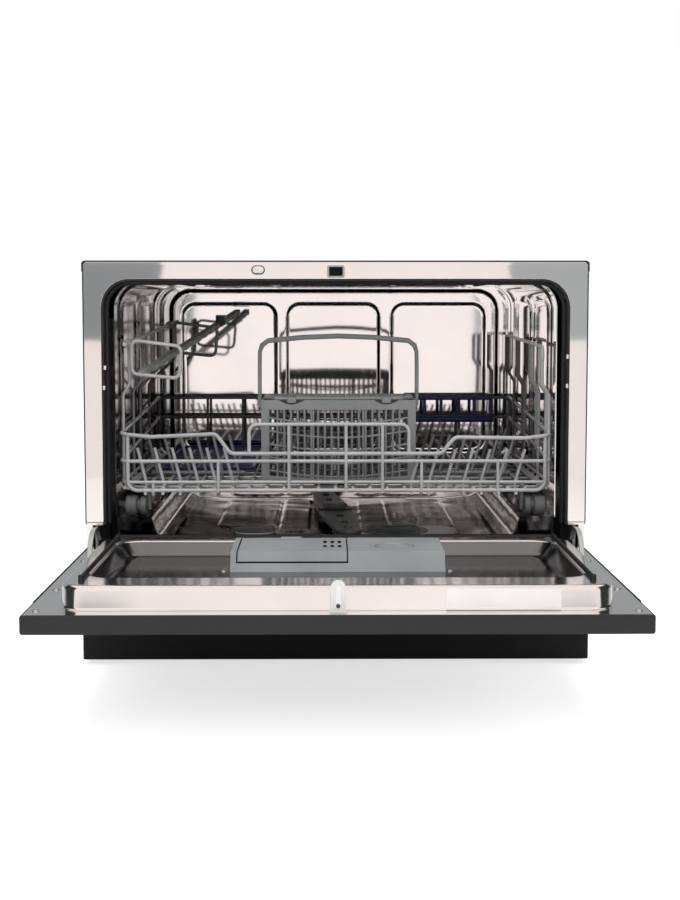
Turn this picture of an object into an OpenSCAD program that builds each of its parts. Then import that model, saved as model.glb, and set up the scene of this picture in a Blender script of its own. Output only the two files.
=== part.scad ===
// Countertop dishwasher with its door down and its rack in.
// x runs to the right, y runs back into the cabinet, z runs up from the feet.

/* [Cabinet] */
// Overall width
body_w = 550; // [520:1:600]
// Height from the feet to the top cover
body_h = 438; // [420:1:480]
// Depth of the cabinet behind its front frame
body_d = 475; // [460:1:520]
// Thickness of the casing panels
skin = 1.2; // [0.8:0.1:2]
// Height of the feet
foot_h = 6; // [4:1:12]
// Height of the kick plate top
kick_h = 64; // [58:1:64]
// Thickness of the door and kick plate in front of the frame
front_t = 24; // [22:1:26]

/* [Tub] */
// Gap between a casing side and the tub
side_gap = 32; // [30:1:36]
// Height of the rack ledges
ledge_z = 155.4; // [154:0.1:158.4]
// Height of the tub floor
floor_z = 124; // [122:0.5:126]
// Thickness of the tub sheet
tub_t = 1.2; // [0.8:0.1:1.6]

/* [Door] */
// Distance of the hinge pin in front of the frame
pivot_out = 19.4; // [18:0.1:20]
// Height of the hinge pin
pivot_z = 110.4; // [109:0.1:112]
// Height of the liner rim over its flange
rim_h = 21.2; // [18:0.1:22]
// Depth of the pan inside the rim
pan_deep = 16.2; // [12:0.1:18]
// Radius of the hinge straps
strap_r = 38; // [36:0.5:40]

/* [Rack] */
// Distance of the rack front behind the frame
rack_y = 28; // [26:1:34]
// Thickness of the border wires
wire = 4.6; // [4:0.1:5.5]
// Thickness of the tines
tine = 4; // [3:0.1:4.5]
// Radius of the rack wheels
wheel_r = 11.5; // [9:0.5:12]

/* [Hidden] */
$fn = 64;
hw = body_w / 2;
pivot_y = -pivot_out;
turn = pivot_z + pivot_y;
door_reach = body_h - turn;
front_y = -(body_d - door_reach) / 2;
face_z = pivot_z - (front_t - pivot_out);
flange_z = pivot_z + pivot_out - 6.8;
rim_z = flange_z + rim_h;
pan_z = rim_z - pan_deep;
top_z = body_h - skin;
mouth_x = hw - 20.7;
mouth_z = body_h - 19.9;
tub_x = hw - side_gap;
tub_z = body_h - 22;
tub_back = body_d - 55;
rim_x = hw - 29.4;
rack_x = tub_x - 4.5;
rack_end = tub_back - 22;
axle_z = ledge_z + 0.3 + wheel_r;
arm_y = 215;
well_x = 70;
well_y = 120;
salt_x = -95;
basket_x = 3.2;
cap_x = 58.6;
shelf_front = [-rack_x + 7.5, rack_y + 8, 348];
shelf_climb = 4.68;
shelf_skew = 6.4;
salt_y = 120;

module from_front() translate([0, front_y, 0]) children();

// A box given by its two far corners.
module slab(a, b) translate(a) cube([b[0] - a[0], b[1] - a[1], b[2] - a[2]]);

// Left and right copies of a piece drawn on the right.
module both_sides() {
  children();
  mirror([1, 0, 0]) children();
}

// A straight wire from one point to another.
module rod(a, b, d) {
  v = b - a;
  len = norm(v);
  translate(a)
    rotate([0, acos(v[2] / len), atan2(v[1], v[0])])
      translate([0, 0, -d * 0.3])
        cylinder(h = len + d * 0.6, d = d, $fn = 8);
}

// A bent wire through a row of points.
module bent(p, d) for (i = [0 : len(p) - 2]) rod(p[i], p[i + 1], d - 0.16 * (i % 2));

// A flat rounded rectangle from x0 to x1 and y0 to y1.
module rounded(x0, x1, y0, y1, r) {
  translate([x0 + r, y0]) square([x1 - x0 - 2 * r, y1 - y0]);
  translate([x0, y0 + r]) square([x1 - x0, y1 - y0 - 2 * r]);
  for (x = [x0 + r, x1 - r]) for (y = [y0 + r, y1 - r]) translate([x, y]) circle(r);
}

// A flat x and z outline stood up and drawn out from y0 to y1.
module upright(y0, y1) translate([0, y1, 0]) rotate([90, 0, 0]) linear_extrude(y1 - y0) children();

// A flat y and z outline drawn out from x0 to x1.
module along_x(x0, x1) translate([x0, 0, 0]) rotate([90, 0, 90]) linear_extrude(x1 - x0) children();

// A round bar along x.
module bar_x(x0, x1, y, z, r) translate([x0, y, z]) rotate([0, 90, 0]) cylinder(h = x1 - x0, r = r);

// A round bar along y.
module bar_y(y0, y1, x, z, r) translate([x, y0, z]) rotate([-90, 0, 0]) cylinder(h = y1 - y0, r = r);

module top_cover() color("DimGray") from_front() difference() {
  slab([-hw, 0, body_h - 12], [hw, body_d, body_h]);
  slab([-hw + skin, -1, body_h - 13], [hw - skin, body_d - skin, top_z]);
}

module side_panel() difference() {
  slab([hw - skin, 0, foot_h], [hw, body_d, body_h - 12]);
  bar_x(hw - skin - 1, hw + 1, pivot_y, pivot_z, 46);
}

module side_panel_left() color("DimGray") from_front() mirror([1, 0, 0]) side_panel();

module side_panel_right() color("DimGray") from_front() side_panel();

module rear_panel() color("Silver") from_front() difference() {
  slab([-hw + skin, body_d - skin, foot_h + 2], [hw - skin, body_d, body_h - 12]);
  bar_y(body_d - 5, body_d + 5, 190, 70, 12.5);
  bar_y(body_d - 5, body_d + 5, 137, 50, 10);
  bar_y(body_d - 5, body_d + 5, -190, 50, 9);
  for (i = [0 : 7]) slab([-hw + 45 + i * 14, body_d - 5, 300], [-hw + 52 + i * 14, body_d + 5, 350]);
}

module base_tray() color("Gray") from_front() {
  slab([-hw + skin, 0, foot_h], [hw - skin, body_d, foot_h + 2]);
  slab([-hw + skin, 28, foot_h + 2], [hw - skin, 29.5, kick_h - 4]);
}

module kick_plate() color("Black") from_front() difference() {
  slab([-hw, -front_t, foot_h], [hw, 0, kick_h]);
  slab([-hw + 2, -front_t + 2, foot_h - 1], [hw - 2, 1, kick_h - 2]);
}

module feet() color("Black") from_front() for (x = [-hw + 45, hw - 45]) for (y = [45, body_d - 45]) {
  translate([x, y, 0]) cylinder(h = foot_h - 2, r = 15);
  translate([x, y, foot_h - 3]) cylinder(h = 3, r = 9);
}

// The oval outline of the door switch button and its window.
module oval(r) translate([-84, body_h - 10.3]) {
  translate([-2.4, -r]) square([4.8, 2 * r]);
  for (x = [-2.4, 2.4]) translate([x, 0]) circle(r);
}

module front_frame() color("Gainsboro") from_front() upright(0, 1) difference() {
  rounded(-hw + 2, hw - 2, 120, body_h - 1.6, 4);
  rounded(-mouth_x, mouth_x, 60, mouth_z, 31);
  translate([-hw, 100]) square([body_w, 53]);
  translate([-7.2, body_h - 16.7]) square([14.6, 9.7]);
  oval(4);
}

module hinge_covers() color("Silver") from_front() both_sides() {
  slab([hw - 9, 0, 126], [hw - 2, 1.2, 152]);
  slab([mouth_x + 0.5, 0, 149.6], [hw - 9, 1.2, 152]);
}

module door_gasket() color("Black") from_front() {
  upright(1, 22) difference() {
    rounded(-mouth_x + 0.2, mouth_x - 0.2, 60, mouth_z - 0.2, 31);
    rounded(-mouth_x + 2, mouth_x - 2, 58, mouth_z - 2, 29);
    translate([-hw, 0]) square([body_w, 150]);
  }
  upright(16.5, 22) difference() {
    rounded(-mouth_x + 1.5, mouth_x - 1.5, 60, mouth_z - 1.5, 29.5);
    rounded(-mouth_x + 6, mouth_x - 6, 58, mouth_z - 8.4, 22);
    translate([-hw, 0]) square([body_w, 150]);
  }
}

module sill_seal() color("Black") from_front() slab([-tub_x, 4, floor_z + 3.2], [tub_x, 12, floor_z + 14.2]);

module tub_ceiling() color("Silver") from_front() {
  upright(22, tub_back) difference() {
    rounded(-tub_x - tub_t, tub_x + tub_t, 60, tub_z + tub_t, 30 + tub_t);
    rounded(-tub_x, tub_x, 58, tub_z, 30);
    translate([-hw, 0]) square([body_w, tub_z - 30]);
  }
}

module tub_wall() {
  slab([tub_x, 24, ledge_z - 1.2], [tub_x + tub_t, tub_back, tub_z - 30]);
  slab([tub_x, 22, 150], [mouth_x, 24, tub_z - 30]);
}

module tub_left_wall() color("Silver") from_front() mirror([1, 0, 0]) tub_wall();

module tub_right_wall() color("Silver") from_front() tub_wall();

module tub_back_wall() color("Silver") from_front() {
  upright(tub_back, tub_back + tub_t) rounded(-tub_x - tub_t, tub_x + tub_t, floor_z - 1.2, tub_z + tub_t, 31);
}

module tub_floor() color("Silver") from_front() difference() {
  union() {
    upright(27, tub_back) polygon([[-tub_x, ledge_z], [-206, ledge_z], [-196, floor_z + 6],
      [-188, floor_z + 3], [-150, floor_z], [150, floor_z], [188, floor_z + 3], [196, floor_z + 6],
      [206, ledge_z], [tub_x, ledge_z], [tub_x, ledge_z - 1.2], [207, ledge_z - 1.2],
      [197, floor_z + 4.8], [189, floor_z + 1.8], [150, floor_z - 1.2], [-150, floor_z - 1.2],
      [-189, floor_z + 1.8], [-197, floor_z + 4.8], [-207, ledge_z - 1.2], [-tub_x, ledge_z - 1.2]]);
    slab([-tub_x, 4, floor_z + 2], [tub_x, 28, floor_z + 3.2]);
    slab([-190, 27, floor_z - 1.2], [190, 28.2, floor_z + 3]);
    both_sides() slab([189, 27, floor_z + 1], [tub_x, 28.2, ledge_z - 0.1]);
  }
  translate([well_x, well_y, 0]) cylinder(h = 200, r = 44);
  translate([salt_x, salt_y, 0]) cylinder(h = 200, r = 24);
  translate([0, arm_y, 0]) cylinder(h = 200, r = 12);
}

module sump() color("DarkGray") from_front() {
  translate([well_x, well_y, 0]) difference() {
    union() {
      translate([0, 0, floor_z - 58]) cylinder(h = 56.8, r = 46);
      translate([0, 0, floor_z - 4]) cylinder(h = 2.8, r = 54);
      bar_y(40, 92, 0, floor_z - 46, 12);
    }
    translate([0, 0, floor_z - 55]) cylinder(h = 70, r = 43);
    bar_y(38, 93, 0, floor_z - 46, 9);
  }
}

module filter_plate() color("Silver") from_front() translate([well_x, well_y, floor_z]) difference() {
  cylinder(h = 1.5, r = 74);
  translate([0, 0, -1]) cylinder(h = 4, r = 39.6);
}

module filter_cup() color("DarkSeaGreen") from_front() translate([well_x, well_y, 0]) {
  difference() {
    union() {
      translate([0, 0, floor_z - 44]) cylinder(h = 46, r = 34);
      translate([0, 0, floor_z - 4]) cylinder(h = 6, r = 39.5);
    }
    translate([0, 0, floor_z - 42]) cylinder(h = 60, r = 31);
  }
  slab([-32, -3, floor_z - 4], [32, 3, floor_z + 5]);
}

module spray_post() color("DarkGray") from_front() translate([0, arm_y, 0]) {
  translate([0, 0, floor_z]) cylinder(h = 2.5, r = 20);
  difference() {
    translate([0, 0, floor_z - 44]) cylinder(h = 59.6, r = 9);
    translate([0, 0, floor_z - 36]) cylinder(h = 60, r = 6);
  }
  translate([0, 0, floor_z + 15.6]) cylinder(h = 6.4, r = 14);
  bar_y(0, 24, 0, floor_z - 46, 9);
  bar_x(0, 16, 24, floor_z - 46, 9);
}

module spray_arm() color("Silver") from_front() translate([0, arm_y, 0]) rotate([0, 0, 5]) difference() {
  union() {
    translate([0, 0, floor_z + 2.8]) cylinder(h = 12.4, r = 21);
    translate([0, 0, floor_z + 7]) linear_extrude(7.6) hull() {
      circle(24, $fn = 40);
      translate([0, 168]) circle(15, $fn = 32);
      translate([0, -168]) circle(15, $fn = 32);
    }
    for (y = [-160, -118, -70, 78, 126, 158]) translate([0, y, floor_z + 12]) cylinder(h = 4.6, r1 = 5, r2 = 3);
  }
  cylinder(h = 200, r = 9.06);
}

module water_softener() color("WhiteSmoke") from_front() difference() {
  union() {
    slab([salt_x - 55, 62, foot_h + 2], [salt_x + 50, 190, floor_z - 8]);
    translate([salt_x, salt_y, 60]) cylinder(h = floor_z - 58.5, r = 23.6);
  }
  translate([salt_x, salt_y, 50]) cylinder(h = 100, r = 20);
}

module salt_cap() color("WhiteSmoke") from_front() translate([salt_x, salt_y, 0]) {
  translate([0, 0, floor_z - 12]) cylinder(h = 15, r = 19.94);
  translate([0, 0, floor_z + 1.8]) cylinder(h = 2.2, r = 25);
  slab([-20, -3, floor_z + 3], [20, 3, floor_z + 6]);
}

module wash_pump() color("DimGray") from_front() {
  translate([well_x, 0, 0]) difference() {
    union() {
      bar_y(222, 256, 0, floor_z - 60, 44);
      bar_y(256, 356, 0, floor_z - 60, 34);
      bar_y(212, 224, 0, floor_z - 46, 13);
    }
    bar_y(210, 250, 0, floor_z - 46, 8);
  }
  bar_x(16, 40, 239, floor_z - 46, 10);
  slab([well_x - 20, 270, foot_h + 2], [well_x + 20, 330, floor_z - 88]);
}

module drain_pump() color("DimGray") from_front() {
  bar_x(124, 150, 120, 48, 24);
  bar_x(149, 215, 120, 48, 18);
  slab([160, 106, foot_h + 2], [200, 134, 36]);
  bar_y(143, body_d - 0.2, 137, 50, 9);
}

module flow_heater() color("Silver") from_front() {
  bar_y(222, 350, -92, 62, 25);
  bar_y(350, 358, -92, 62, 10);
  slab([-106, 250, foot_h + 2], [-78, 330, 44]);
  for (x = [-104, -80]) slab([x - 3, 205, 58], [x + 3, 223, 66]);
}

module inlet_valve() color("White") from_front() {
  slab([172, body_d - 48, 48], [208, body_d - 10, 92]);
  bar_y(body_d - 12, body_d, 190, 70, 12);
  bar_y(body_d - 68, body_d - 47, 190, 70, 8);
}

module cord_gland() color("Black") from_front() {
  bar_y(body_d - 14, body_d, -190, 50, 8.8);
  bar_y(body_d - 14, body_d - skin, -190, 50, 13);
  slab([-215, body_d - 46, 30], [-165, body_d - 12, 72]);
}

module water_guide() color("White") from_front() difference() {
  slab([-hw + 8, 130, 175], [-tub_x - 6, 380, 375]);
  for (z = [185, 248, 311]) slab([-hw + 7, 138, z], [-tub_x - 9, 372, z + 54]);
}

// A base plate with a housing on either side of the hook's pocket and a keeper behind it.
module latch_case() color("DimGray") from_front() {
  slab([-100, 8, tub_z + 3], [24, 36, tub_z + 4.9]);
  slab([8.2, 1, tub_z + 5], [24, 36, top_z - 0.3]);
  slab([-8, 32, tub_z + 5], [8.1, 36, top_z - 0.3]);
  difference() {
    union() {
      slab([-100, 8, tub_z + 5], [-8.1, 36, top_z - 0.3]);
      slab([-20, 1, tub_z + 5], [-8.1, 9, top_z - 0.3]);
    }
    bar_y(0, 24, -84, body_h - 10.3, 3.55);
  }
}

module door_switch_button() color("White") from_front() {
  upright(-3, 2.6) oval(3.8);
  bar_y(2, 17, -84, body_h - 10.3, 3.5);
}

module hinge_plates() color("Silver") from_front() both_sides() {
  along_x(hw - 9.5, hw - 6.5) {
    translate([pivot_y, pivot_z]) circle(3.2);
    translate([pivot_y, pivot_z - 3.2]) square([pivot_out + 34, 6.4]);
    translate([32, 20]) square([90, 130]);
  }
  bar_x(hw - 17.5, hw - 8, pivot_y, pivot_z, 2);
}

module door_springs() color("Silver") from_front() both_sides() {
  translate([hw - 13, 130, 30]) rotate([-90, 0, 0]) rotate_extrude() {
    square([4, 120]);
    for (i = [0 : 19]) translate([0, i * 6]) square([6, 3]);
  }
  slab([hw - 14, 120, 26], [hw - 9.5, 131, 34]);
}

module door_outer_panel() color("DimGray") from_front() difference() {
  slab([-hw, -door_reach + 62, face_z], [hw, 23, flange_z]);
  slab([-hw + skin, -door_reach + 61, face_z + skin], [hw - skin, 21.8, flange_z + 1]);
  both_sides() slab([hw - 10.5, 20, face_z + skin], [hw - 5, 24, flange_z + 1]);
}

module control_panel() color("DimGray") from_front() difference() {
  union() {
    difference() {
      slab([-hw, -door_reach, face_z], [hw, -door_reach + 62, flange_z]);
      slab([-hw + 2.2, -door_reach + 2.2, face_z + 2.4], [hw - 2.2, -door_reach + 63, flange_z + 1]);
    }
    slab([-62, -door_reach + 7, face_z], [62, -door_reach + 37, flange_z - 1.5]);
    slab([-62, -door_reach + 52, face_z + 1], [62, -door_reach + 54, flange_z - 1.5]);
    for (x = [-240, 260]) slab([x, -door_reach + 1, face_z + 1], [x + 2, -door_reach + 60, flange_z - 1.5]);
  }
  slab([-60, -door_reach + 9, face_z - 1], [60, -door_reach + 35, flange_z - 3.5]);
  slab([96, -door_reach + 40, face_z - 1], [160, -door_reach + 54, face_z + 3]);
  for (x = [-200, 190, 225]) translate([x, -door_reach + 47, face_z - 1]) cylinder(h = 5, r = 7.58);
}

module key(x) translate([x, -door_reach + 47, 0]) {
  translate([0, 0, face_z - 0.8]) cylinder(h = 5.6, r = 7.5);
  translate([0, 0, face_z + 4]) cylinder(h = 1.4, r = 9);
}

module power_button() color("Silver") from_front() key(-200);

module program_button() color("Silver") from_front() key(190);

module start_button() color("Silver") from_front() key(225);

// The liner is a flange with a raised rim that holds a shallow pan.
module rim_block(in, drop) hull() {
  translate([0, 0, flange_z - 1]) linear_extrude(0.1)
    rounded(-rim_x - 1.4 + in, rim_x + 1.4 - in, -door_reach + 21 + in, -47.5 - in, 27 - in, $fn = 32);
  translate([0, 0, rim_z - 0.1 - drop]) linear_extrude(0.1)
    rounded(-rim_x + in, rim_x - in, -door_reach + 26 + in, -48.5 - in, 27 - in, $fn = 32);
}

module pan_block(out, up) hull() {
  translate([0, 0, pan_z - out]) linear_extrude(0.1)
    rounded(-rim_x + 29.6 - out, rim_x - 29.6 + out, -door_reach + 69 - out, -73 + out, 20, $fn = 32);
  translate([0, 0, rim_z + up]) linear_extrude(0.1)
    rounded(-rim_x + 18.9 - out, rim_x - 18.9 + out, -door_reach + 67 - out, -70 + out, 26, $fn = 32);
}

module door_liner() color("Silver") from_front() difference() {
  union() {
    difference() {
      slab([-hw + 2.4, -door_reach + 2.4, flange_z - 1], [hw - 2.4, 21.6, flange_z]);
      translate([0, 0, -3]) linear_extrude(400)
        rounded(-rim_x + 1, rim_x - 1, -door_reach + 23, -50, 26, $fn = 32);
      both_sides() slab([hw - 10.5, pivot_y - 4, flange_z - 2], [hw - 5, 24, flange_z + 1]);
      both_sides() slab([hw - 17, -61, flange_z - 2], [hw - 10.5, -50, flange_z + 1]);
    }
    both_sides() slab([hw - 28, -32, flange_z - 1], [hw - 11.5, -8, flange_z + 6]);
    difference() {
      rim_block(0, 0);
      rim_block(1.2, 1.2);
    }
    intersection() {
      pan_block(1.2, 1);
      translate([-hw, -400, 100]) cube([body_w, 400, rim_z - 100]);
    }
  }
  pan_block(0, 1);
  slab([-7, -door_reach + 7, flange_z - 2], [8, -door_reach + 17, flange_z + 1]);
}

module side_seals() color("Black") from_front() both_sides() {
  slab([rim_x - 17.6, -door_reach + 54, rim_z], [rim_x - 14.4, -50, rim_z + 4.8]);
  translate([rim_x - 16, -door_reach + 53, rim_z]) cylinder(h = 5.2, r = 3);
}

module dispenser_body() color("SlateGray") from_front() difference() {
  along_x(-105, 107) polygon([[-73.1, pan_z], [-73.1, rim_z + 0.1], [-71, rim_z + 0.1], [-71, rim_z + 1],
    [-157, rim_z + 1], [-165, pan_z + 1], [-165.4, pan_z]]);
  slab([-94, -150, pan_z + 3], [6, -82, rim_z + 2]);
  translate([cap_x, -124, rim_z - 10]) cylinder(h = 20, r = 15.06);
}

module detergent_lid() color("SlateGray") from_front() difference() {
  along_x(-98, 10) polygon([[-71.5, rim_z + 1.2], [-71.5, rim_z + 3], [-157.9, rim_z + 3],
    [-162.9, pan_z + 9.4], [-161.2, pan_z + 9.6], [-157.4, rim_z + 1.2]]);
  for (x = [-13.3, -6.1, 1.5]) for (y = [-133, -107])
    slab([x, y, rim_z], [x + 3.4, y + 14, rim_z + 5]);
}

module rinse_cap() color("Black") from_front() translate([cap_x, -124, 0]) difference() {
  union() {
    translate([0, 0, rim_z - 9]) cylinder(h = 10.4, r = 15);
    translate([0, 0, rim_z + 1.2]) cylinder(h = 3.2, r = 19);
  }
  slab([-16, -2, rim_z + 2.4], [16, 2, rim_z + 5]);
}

module latch_hook() color("Silver") from_front() {
  slab([-6.2, -door_reach + 8.4, flange_z - 1.4], [6.6, -door_reach + 10.4, flange_z + 29]);
  slab([-6.2, -door_reach + 8.4, flange_z + 24], [6.6, -door_reach + 15, flange_z + 29]);
  slab([-6.2, -door_reach + 8.4, flange_z], [6.6, -door_reach + 17, flange_z + 1.6]);
}

// Arc-shaped straps that run from the door flange back into the cabinet.
module hinge_straps() color("DarkSeaGreen") from_front() both_sides() {
  along_x(hw - 16.5, hw - 11) translate([pivot_y, pivot_z]) difference() {
    circle(strap_r + 1.5);
    circle(strap_r - 1.5);
    rotate(172) translate([-100, 0]) square([200, 100]);
    rotate(35) translate([-100, -100]) square([200, 100]);
  }
  along_x(hw - 16.5, hw - 11) difference() {
    translate([pivot_y - 42, face_z + skin + 0.1]) square([56, flange_z - face_z - skin - 1.3]);
    translate([pivot_y, pivot_z]) circle(2.05);
  }
}

module door_screws() color("Silver") from_front() {
  both_sides() {
    for (y = [-door_reach + 20, -door_reach + 117, -76])
      translate([hw - 11, y, flange_z]) cylinder(h = 1.6, r = 3.2);
    translate([111.5, -163, pan_z]) cylinder(h = 1.4, r = 3);
  }
}

module rack_floor() color("Gainsboro") from_front() {
  for (i = [-6 : 6]) rod([i * 38.4, rack_y + 2, 187.6], [i * 38.4, rack_end - 2, 187.6], wire);
  for (y = [rack_y + 34, rack_y + 118, rack_y + 202, rack_y + 286, rack_end - 30])
    rod([-rack_x + 6, y, 183.8], [rack_x - 6, y, 183.8], wire);
}

module rack_front() color("Gainsboro") from_front() translate([0, rack_y, 0]) {
  bent([[-rack_x, 0, 247.6], [-205, 0, 244.2], [-132.8, 0, 247.4], [-117, 0, 225.4], [117.8, 0, 225.4],
    [132.4, 0, 243.6], [211, 0, 242.6], [rack_x, 0, 246]], wire);
  bent([[-96.2, 0.6, 226], [-96.2, 0.6, 258], [81.4, 0.6, 258], [81.4, 0.6, 226]], 4.2);
  bent([[-rack_x, 0, 245.5], [-rack_x, 0, 192], [-rack_x + 6, 0, 184.4], [rack_x - 6, 0, 184.4],
    [rack_x, 0, 192], [rack_x, 0, 244]], 4.4);
  rod([-rack_x, 0.5, 217], [rack_x, 0.5, 217], 4.2);
  for (x = [-52, 11.5, 52]) rod([x, -0.7, 185], [x, -0.7, 257], 4);
  for (x = [-196, -130.5, 95.5, 180.4]) rod([x, -0.7, 185], [x, -0.7, 243], 4);
}

module rack_rear() color("Gainsboro") from_front() translate([0, rack_end, 0]) {
  bent([[-rack_x, 0, 265], [-rack_x, 0, 192], [-rack_x + 6, 0, 184.4], [rack_x - 6, 0, 184.4],
    [rack_x, 0, 192], [rack_x, 0, 265], [-rack_x, 0, 265]], wire);
  rod([-rack_x, 0.5, 238.5], [rack_x, 0.5, 238.5], 4.2);
  for (x = [-172, -124, -28, 74, 170]) rod([x, -0.7, 185], [x, -0.7, 264], 4);
}

// The cup shelf turns on a wire that climbs and leans inwards towards the back.
module shelf_place() translate(shelf_front) rotate([shelf_climb, 0, -shelf_skew]) children();

function shelf_x(y) = shelf_front[0] + (y - shelf_front[1]) * tan(shelf_skew);
function shelf_z(y) = shelf_front[2] + (y - shelf_front[1]) * tan(shelf_climb) / cos(shelf_skew);

module rack_side(ys, tops) {
  rod([rack_x, rack_y + 2, 247.6], [rack_x, rack_end, 265], wire);
  rod([rack_x - 4, rack_y + 2, 187.6], [rack_x - 4, rack_end, 187.6], 4.2);
  rod([rack_x - 0.6, rack_y + 2, 217], [rack_x - 0.6, rack_end, 238.5], 4.2);
  for (i = [0 : 3]) bent([[rack_x - 4, ys[i], 184.7], [rack_x - 1.3, ys[i], 193], [rack_x - 1.3, ys[i], 290],
    [tops[i][0] - 0.5, ys[i], 303 + (rack_x - 9 - tops[i][0]) * 0.8], [tops[i][0] - 0.5, ys[i], tops[i][1]]], 4);
}

module rack_sides() color("Gainsboro") from_front() {
  rack_side([rack_y + 6, 113, 233, 339], [for (i = [0 : 3]) [rack_x - 9, 344 + i * 2]]);
  rod([rack_x - 9, rack_y + 6, 344], [rack_x - 9, 339, 350], wire);
  left_posts = [rack_y + 16, 128, 192, 282];
  mirror([1, 0, 0]) rack_side(left_posts, [for (y = left_posts) [-shelf_x(y), shelf_z(y)]]);
  shelf_place() bar_y(-12, 262, 0, 0, 2.3);
}

module tine_row(xs, y, low, top, lean) {
  rod([xs[0] - 8, y, low], [xs[len(xs) - 1] + 8, y, low], 4.2);
  for (x = xs) rod([x, y - 0.7, low], [x + lean, y - 0.7, top], tine);
}

module rack_tines() color("Gainsboro") from_front() {
  tine_row([for (i = [0 : 5]) -211.5 + i * 19.4], rack_y + 13, 191.4, 230, -10.6);
  tine_row([for (i = [0 : 6]) 84.5 + i * 19.4], rack_y + 13, 191.4, 228, 12);
  tine_row([for (i = [0 : 5]) -211.5 + i * 19.4], rack_y + 118, 191.4, 236, -10.6);
  tine_row([for (i = [0 : 6]) 84.5 + i * 19.4], rack_y + 118, 191.4, 236, 12);
  tine_row([for (i = [0 : 6]) 84.5 + i * 19.4], rack_y + 202, 191.4, 236, 12);
}

module wheel_pair(y) both_sides() translate([0, y, axle_z]) rotate([0, 90, 0]) difference() {
  union() {
    translate([0, 0, 225.5]) cylinder(h = 8, r = wheel_r);
    translate([0, 0, 213]) cylinder(h = 13, r = 7.5);
    translate([0, 0, 211.5]) cylinder(h = 5.5, r = 9);
  }
  translate([0, 0, 200]) cylinder(h = 40, r = 3.05);
}

module front_wheels() color("LightGray") from_front() wheel_pair(rack_y + 5);

module rear_wheels() color("LightGray") from_front() wheel_pair(rack_end - 28);

module wheel_brackets() color("LightGray") from_front() both_sides() for (y = [rack_y + 5, rack_end - 28]) {
  slab([205, y - 6, axle_z - 7], [211, y + 6, 190]);
  bar_x(210, 235, y, axle_z, 3);
  bar_x(233.9, 236, y, axle_z, 5.5);
}

// A wall with rows of square windows, drawn in x and z.
module window_wall(x0, x1, z0, z1, nx, nz) difference() {
  translate([x0, z0]) square([x1 - x0, z1 - z0]);
  for (i = [0 : nx - 1]) for (j = [0 : nz - 1])
    translate([x0 + 4 + i * (x1 - x0 - 5) / nx, z0 + 12 + j * (z1 - z0 - 26) / nz])
      square([(x1 - x0 - 5) / nx - 3, (z1 - z0 - 26) / nz - 3]);
}

module cutlery_basket() color("Gray") from_front() translate([basket_x, 0, 0]) {
  difference() {
    slab([-87, rack_y + 18, 190.6], [87, rack_y + 86, 284]);
    slab([-85, rack_y + 20, 192.6], [85, rack_y + 84, 285]);
    upright(rack_y + 17, rack_y + 87) for (i = [0 : 8]) for (j = [0 : 2])
      translate([-77.4 + i * 17.5, 199 + j * 24.6]) square([14.8, 21.8]);
    for (i = [0 : 3]) for (j = [0 : 2])
      slab([-88, rack_y + 24 + i * 15.5, 199 + j * 24.6], [88, rack_y + 36 + i * 15.5, 220.8 + j * 24.6]);
  }
  for (x = [-29.2, 26.8]) slab([x, rack_y + 19, 192], [x + 2, rack_y + 85, 278]);
  both_sides() bar_x(84, 90.6, rack_y + 52, 276, 2.5);
}

module basket_lid() color("Gray") from_front() translate([basket_x, 0, 0]) {
  difference() {
    translate([0, 0, 284.4]) linear_extrude(2.8) polygon([[-84.4, rack_y + 85], [84.4, rack_y + 85],
      [84.4, rack_y + 33], [71, rack_y + 19], [-71, rack_y + 19], [-84.4, rack_y + 33]]);
    for (j = [0 : 2]) for (i = [(j == 0 ? 1 : 0) : (j == 0 ? 7 : 8)])
      slab([-77.4 + i * 17.5, rack_y + 24 + j * 20, 280], [-62.6 + i * 17.5, rack_y + 39 + j * 20, 300]);
  }
  for (x = [-53.2, 31]) bar_x(x, x + 20, rack_y + 86, 285.8, 1.4);
}

module basket_handle() color("Gray") from_front() translate([basket_x, rack_y + 52, 0]) difference() {
  union() {
    both_sides() slab([87.4, -4, 276], [90.4, 4, 340]);
    both_sides() bar_x(87.4, 90.4, 0, 276, 6);
    bent([[-88.9, 0, 338], [-76, 0, 350.5], [0, 0, 355.5], [76, 0, 350.5], [88.9, 0, 338]], 6);
  }
  bar_x(-100, 100, 0, 276, 2.55);
}

module cup_shelf() color("Gainsboro") from_front() shelf_place() {
  for (y = [0, 215]) {
    bent([[6, y, 2], [59.5, y, -2.5], [56.5, y, -40], [6.3, y, -34], [6, y, 2.9]], 4.1);
    difference() {
      union() {
        bar_y(y - 3, y + 3, 0, 0, 4.6);
        slab([2, y - 2, -4], [7, y + 2, 3.6]);
      }
      bar_y(y - 5, y + 5, 0, 0, 2.37);
    }
  }
  rod([15.3, -1.2, -34.2], [74, 294, 9.7], 9);
}

module right_shelf() color("Navy") from_front() translate([0, rack_end - 12, 0]) {
  difference() {
    slab([97.5, 0, 236], [214.6, 4, 268]);
    for (i = [0 : 4]) slab([102 + i * 22.4, -1, 242], [119.4 + i * 22.4, 5, 263]);
  }
  bar_x(94, 216, 2, 236, 4);
}

module left_tray() color("Navy") from_front() {
  difference() {
    slab([-211, 154, 193], [-97, 382, 197]);
    for (i = [0 : 4]) for (j = [0 : 8])
      slab([-206 + i * 22, 160 + j * 24.6, 190], [-189 + i * 22, 178 + j * 24.6, 200]);
  }
  bar_x(-214, -94, 382, 197, 4);
}

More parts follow.
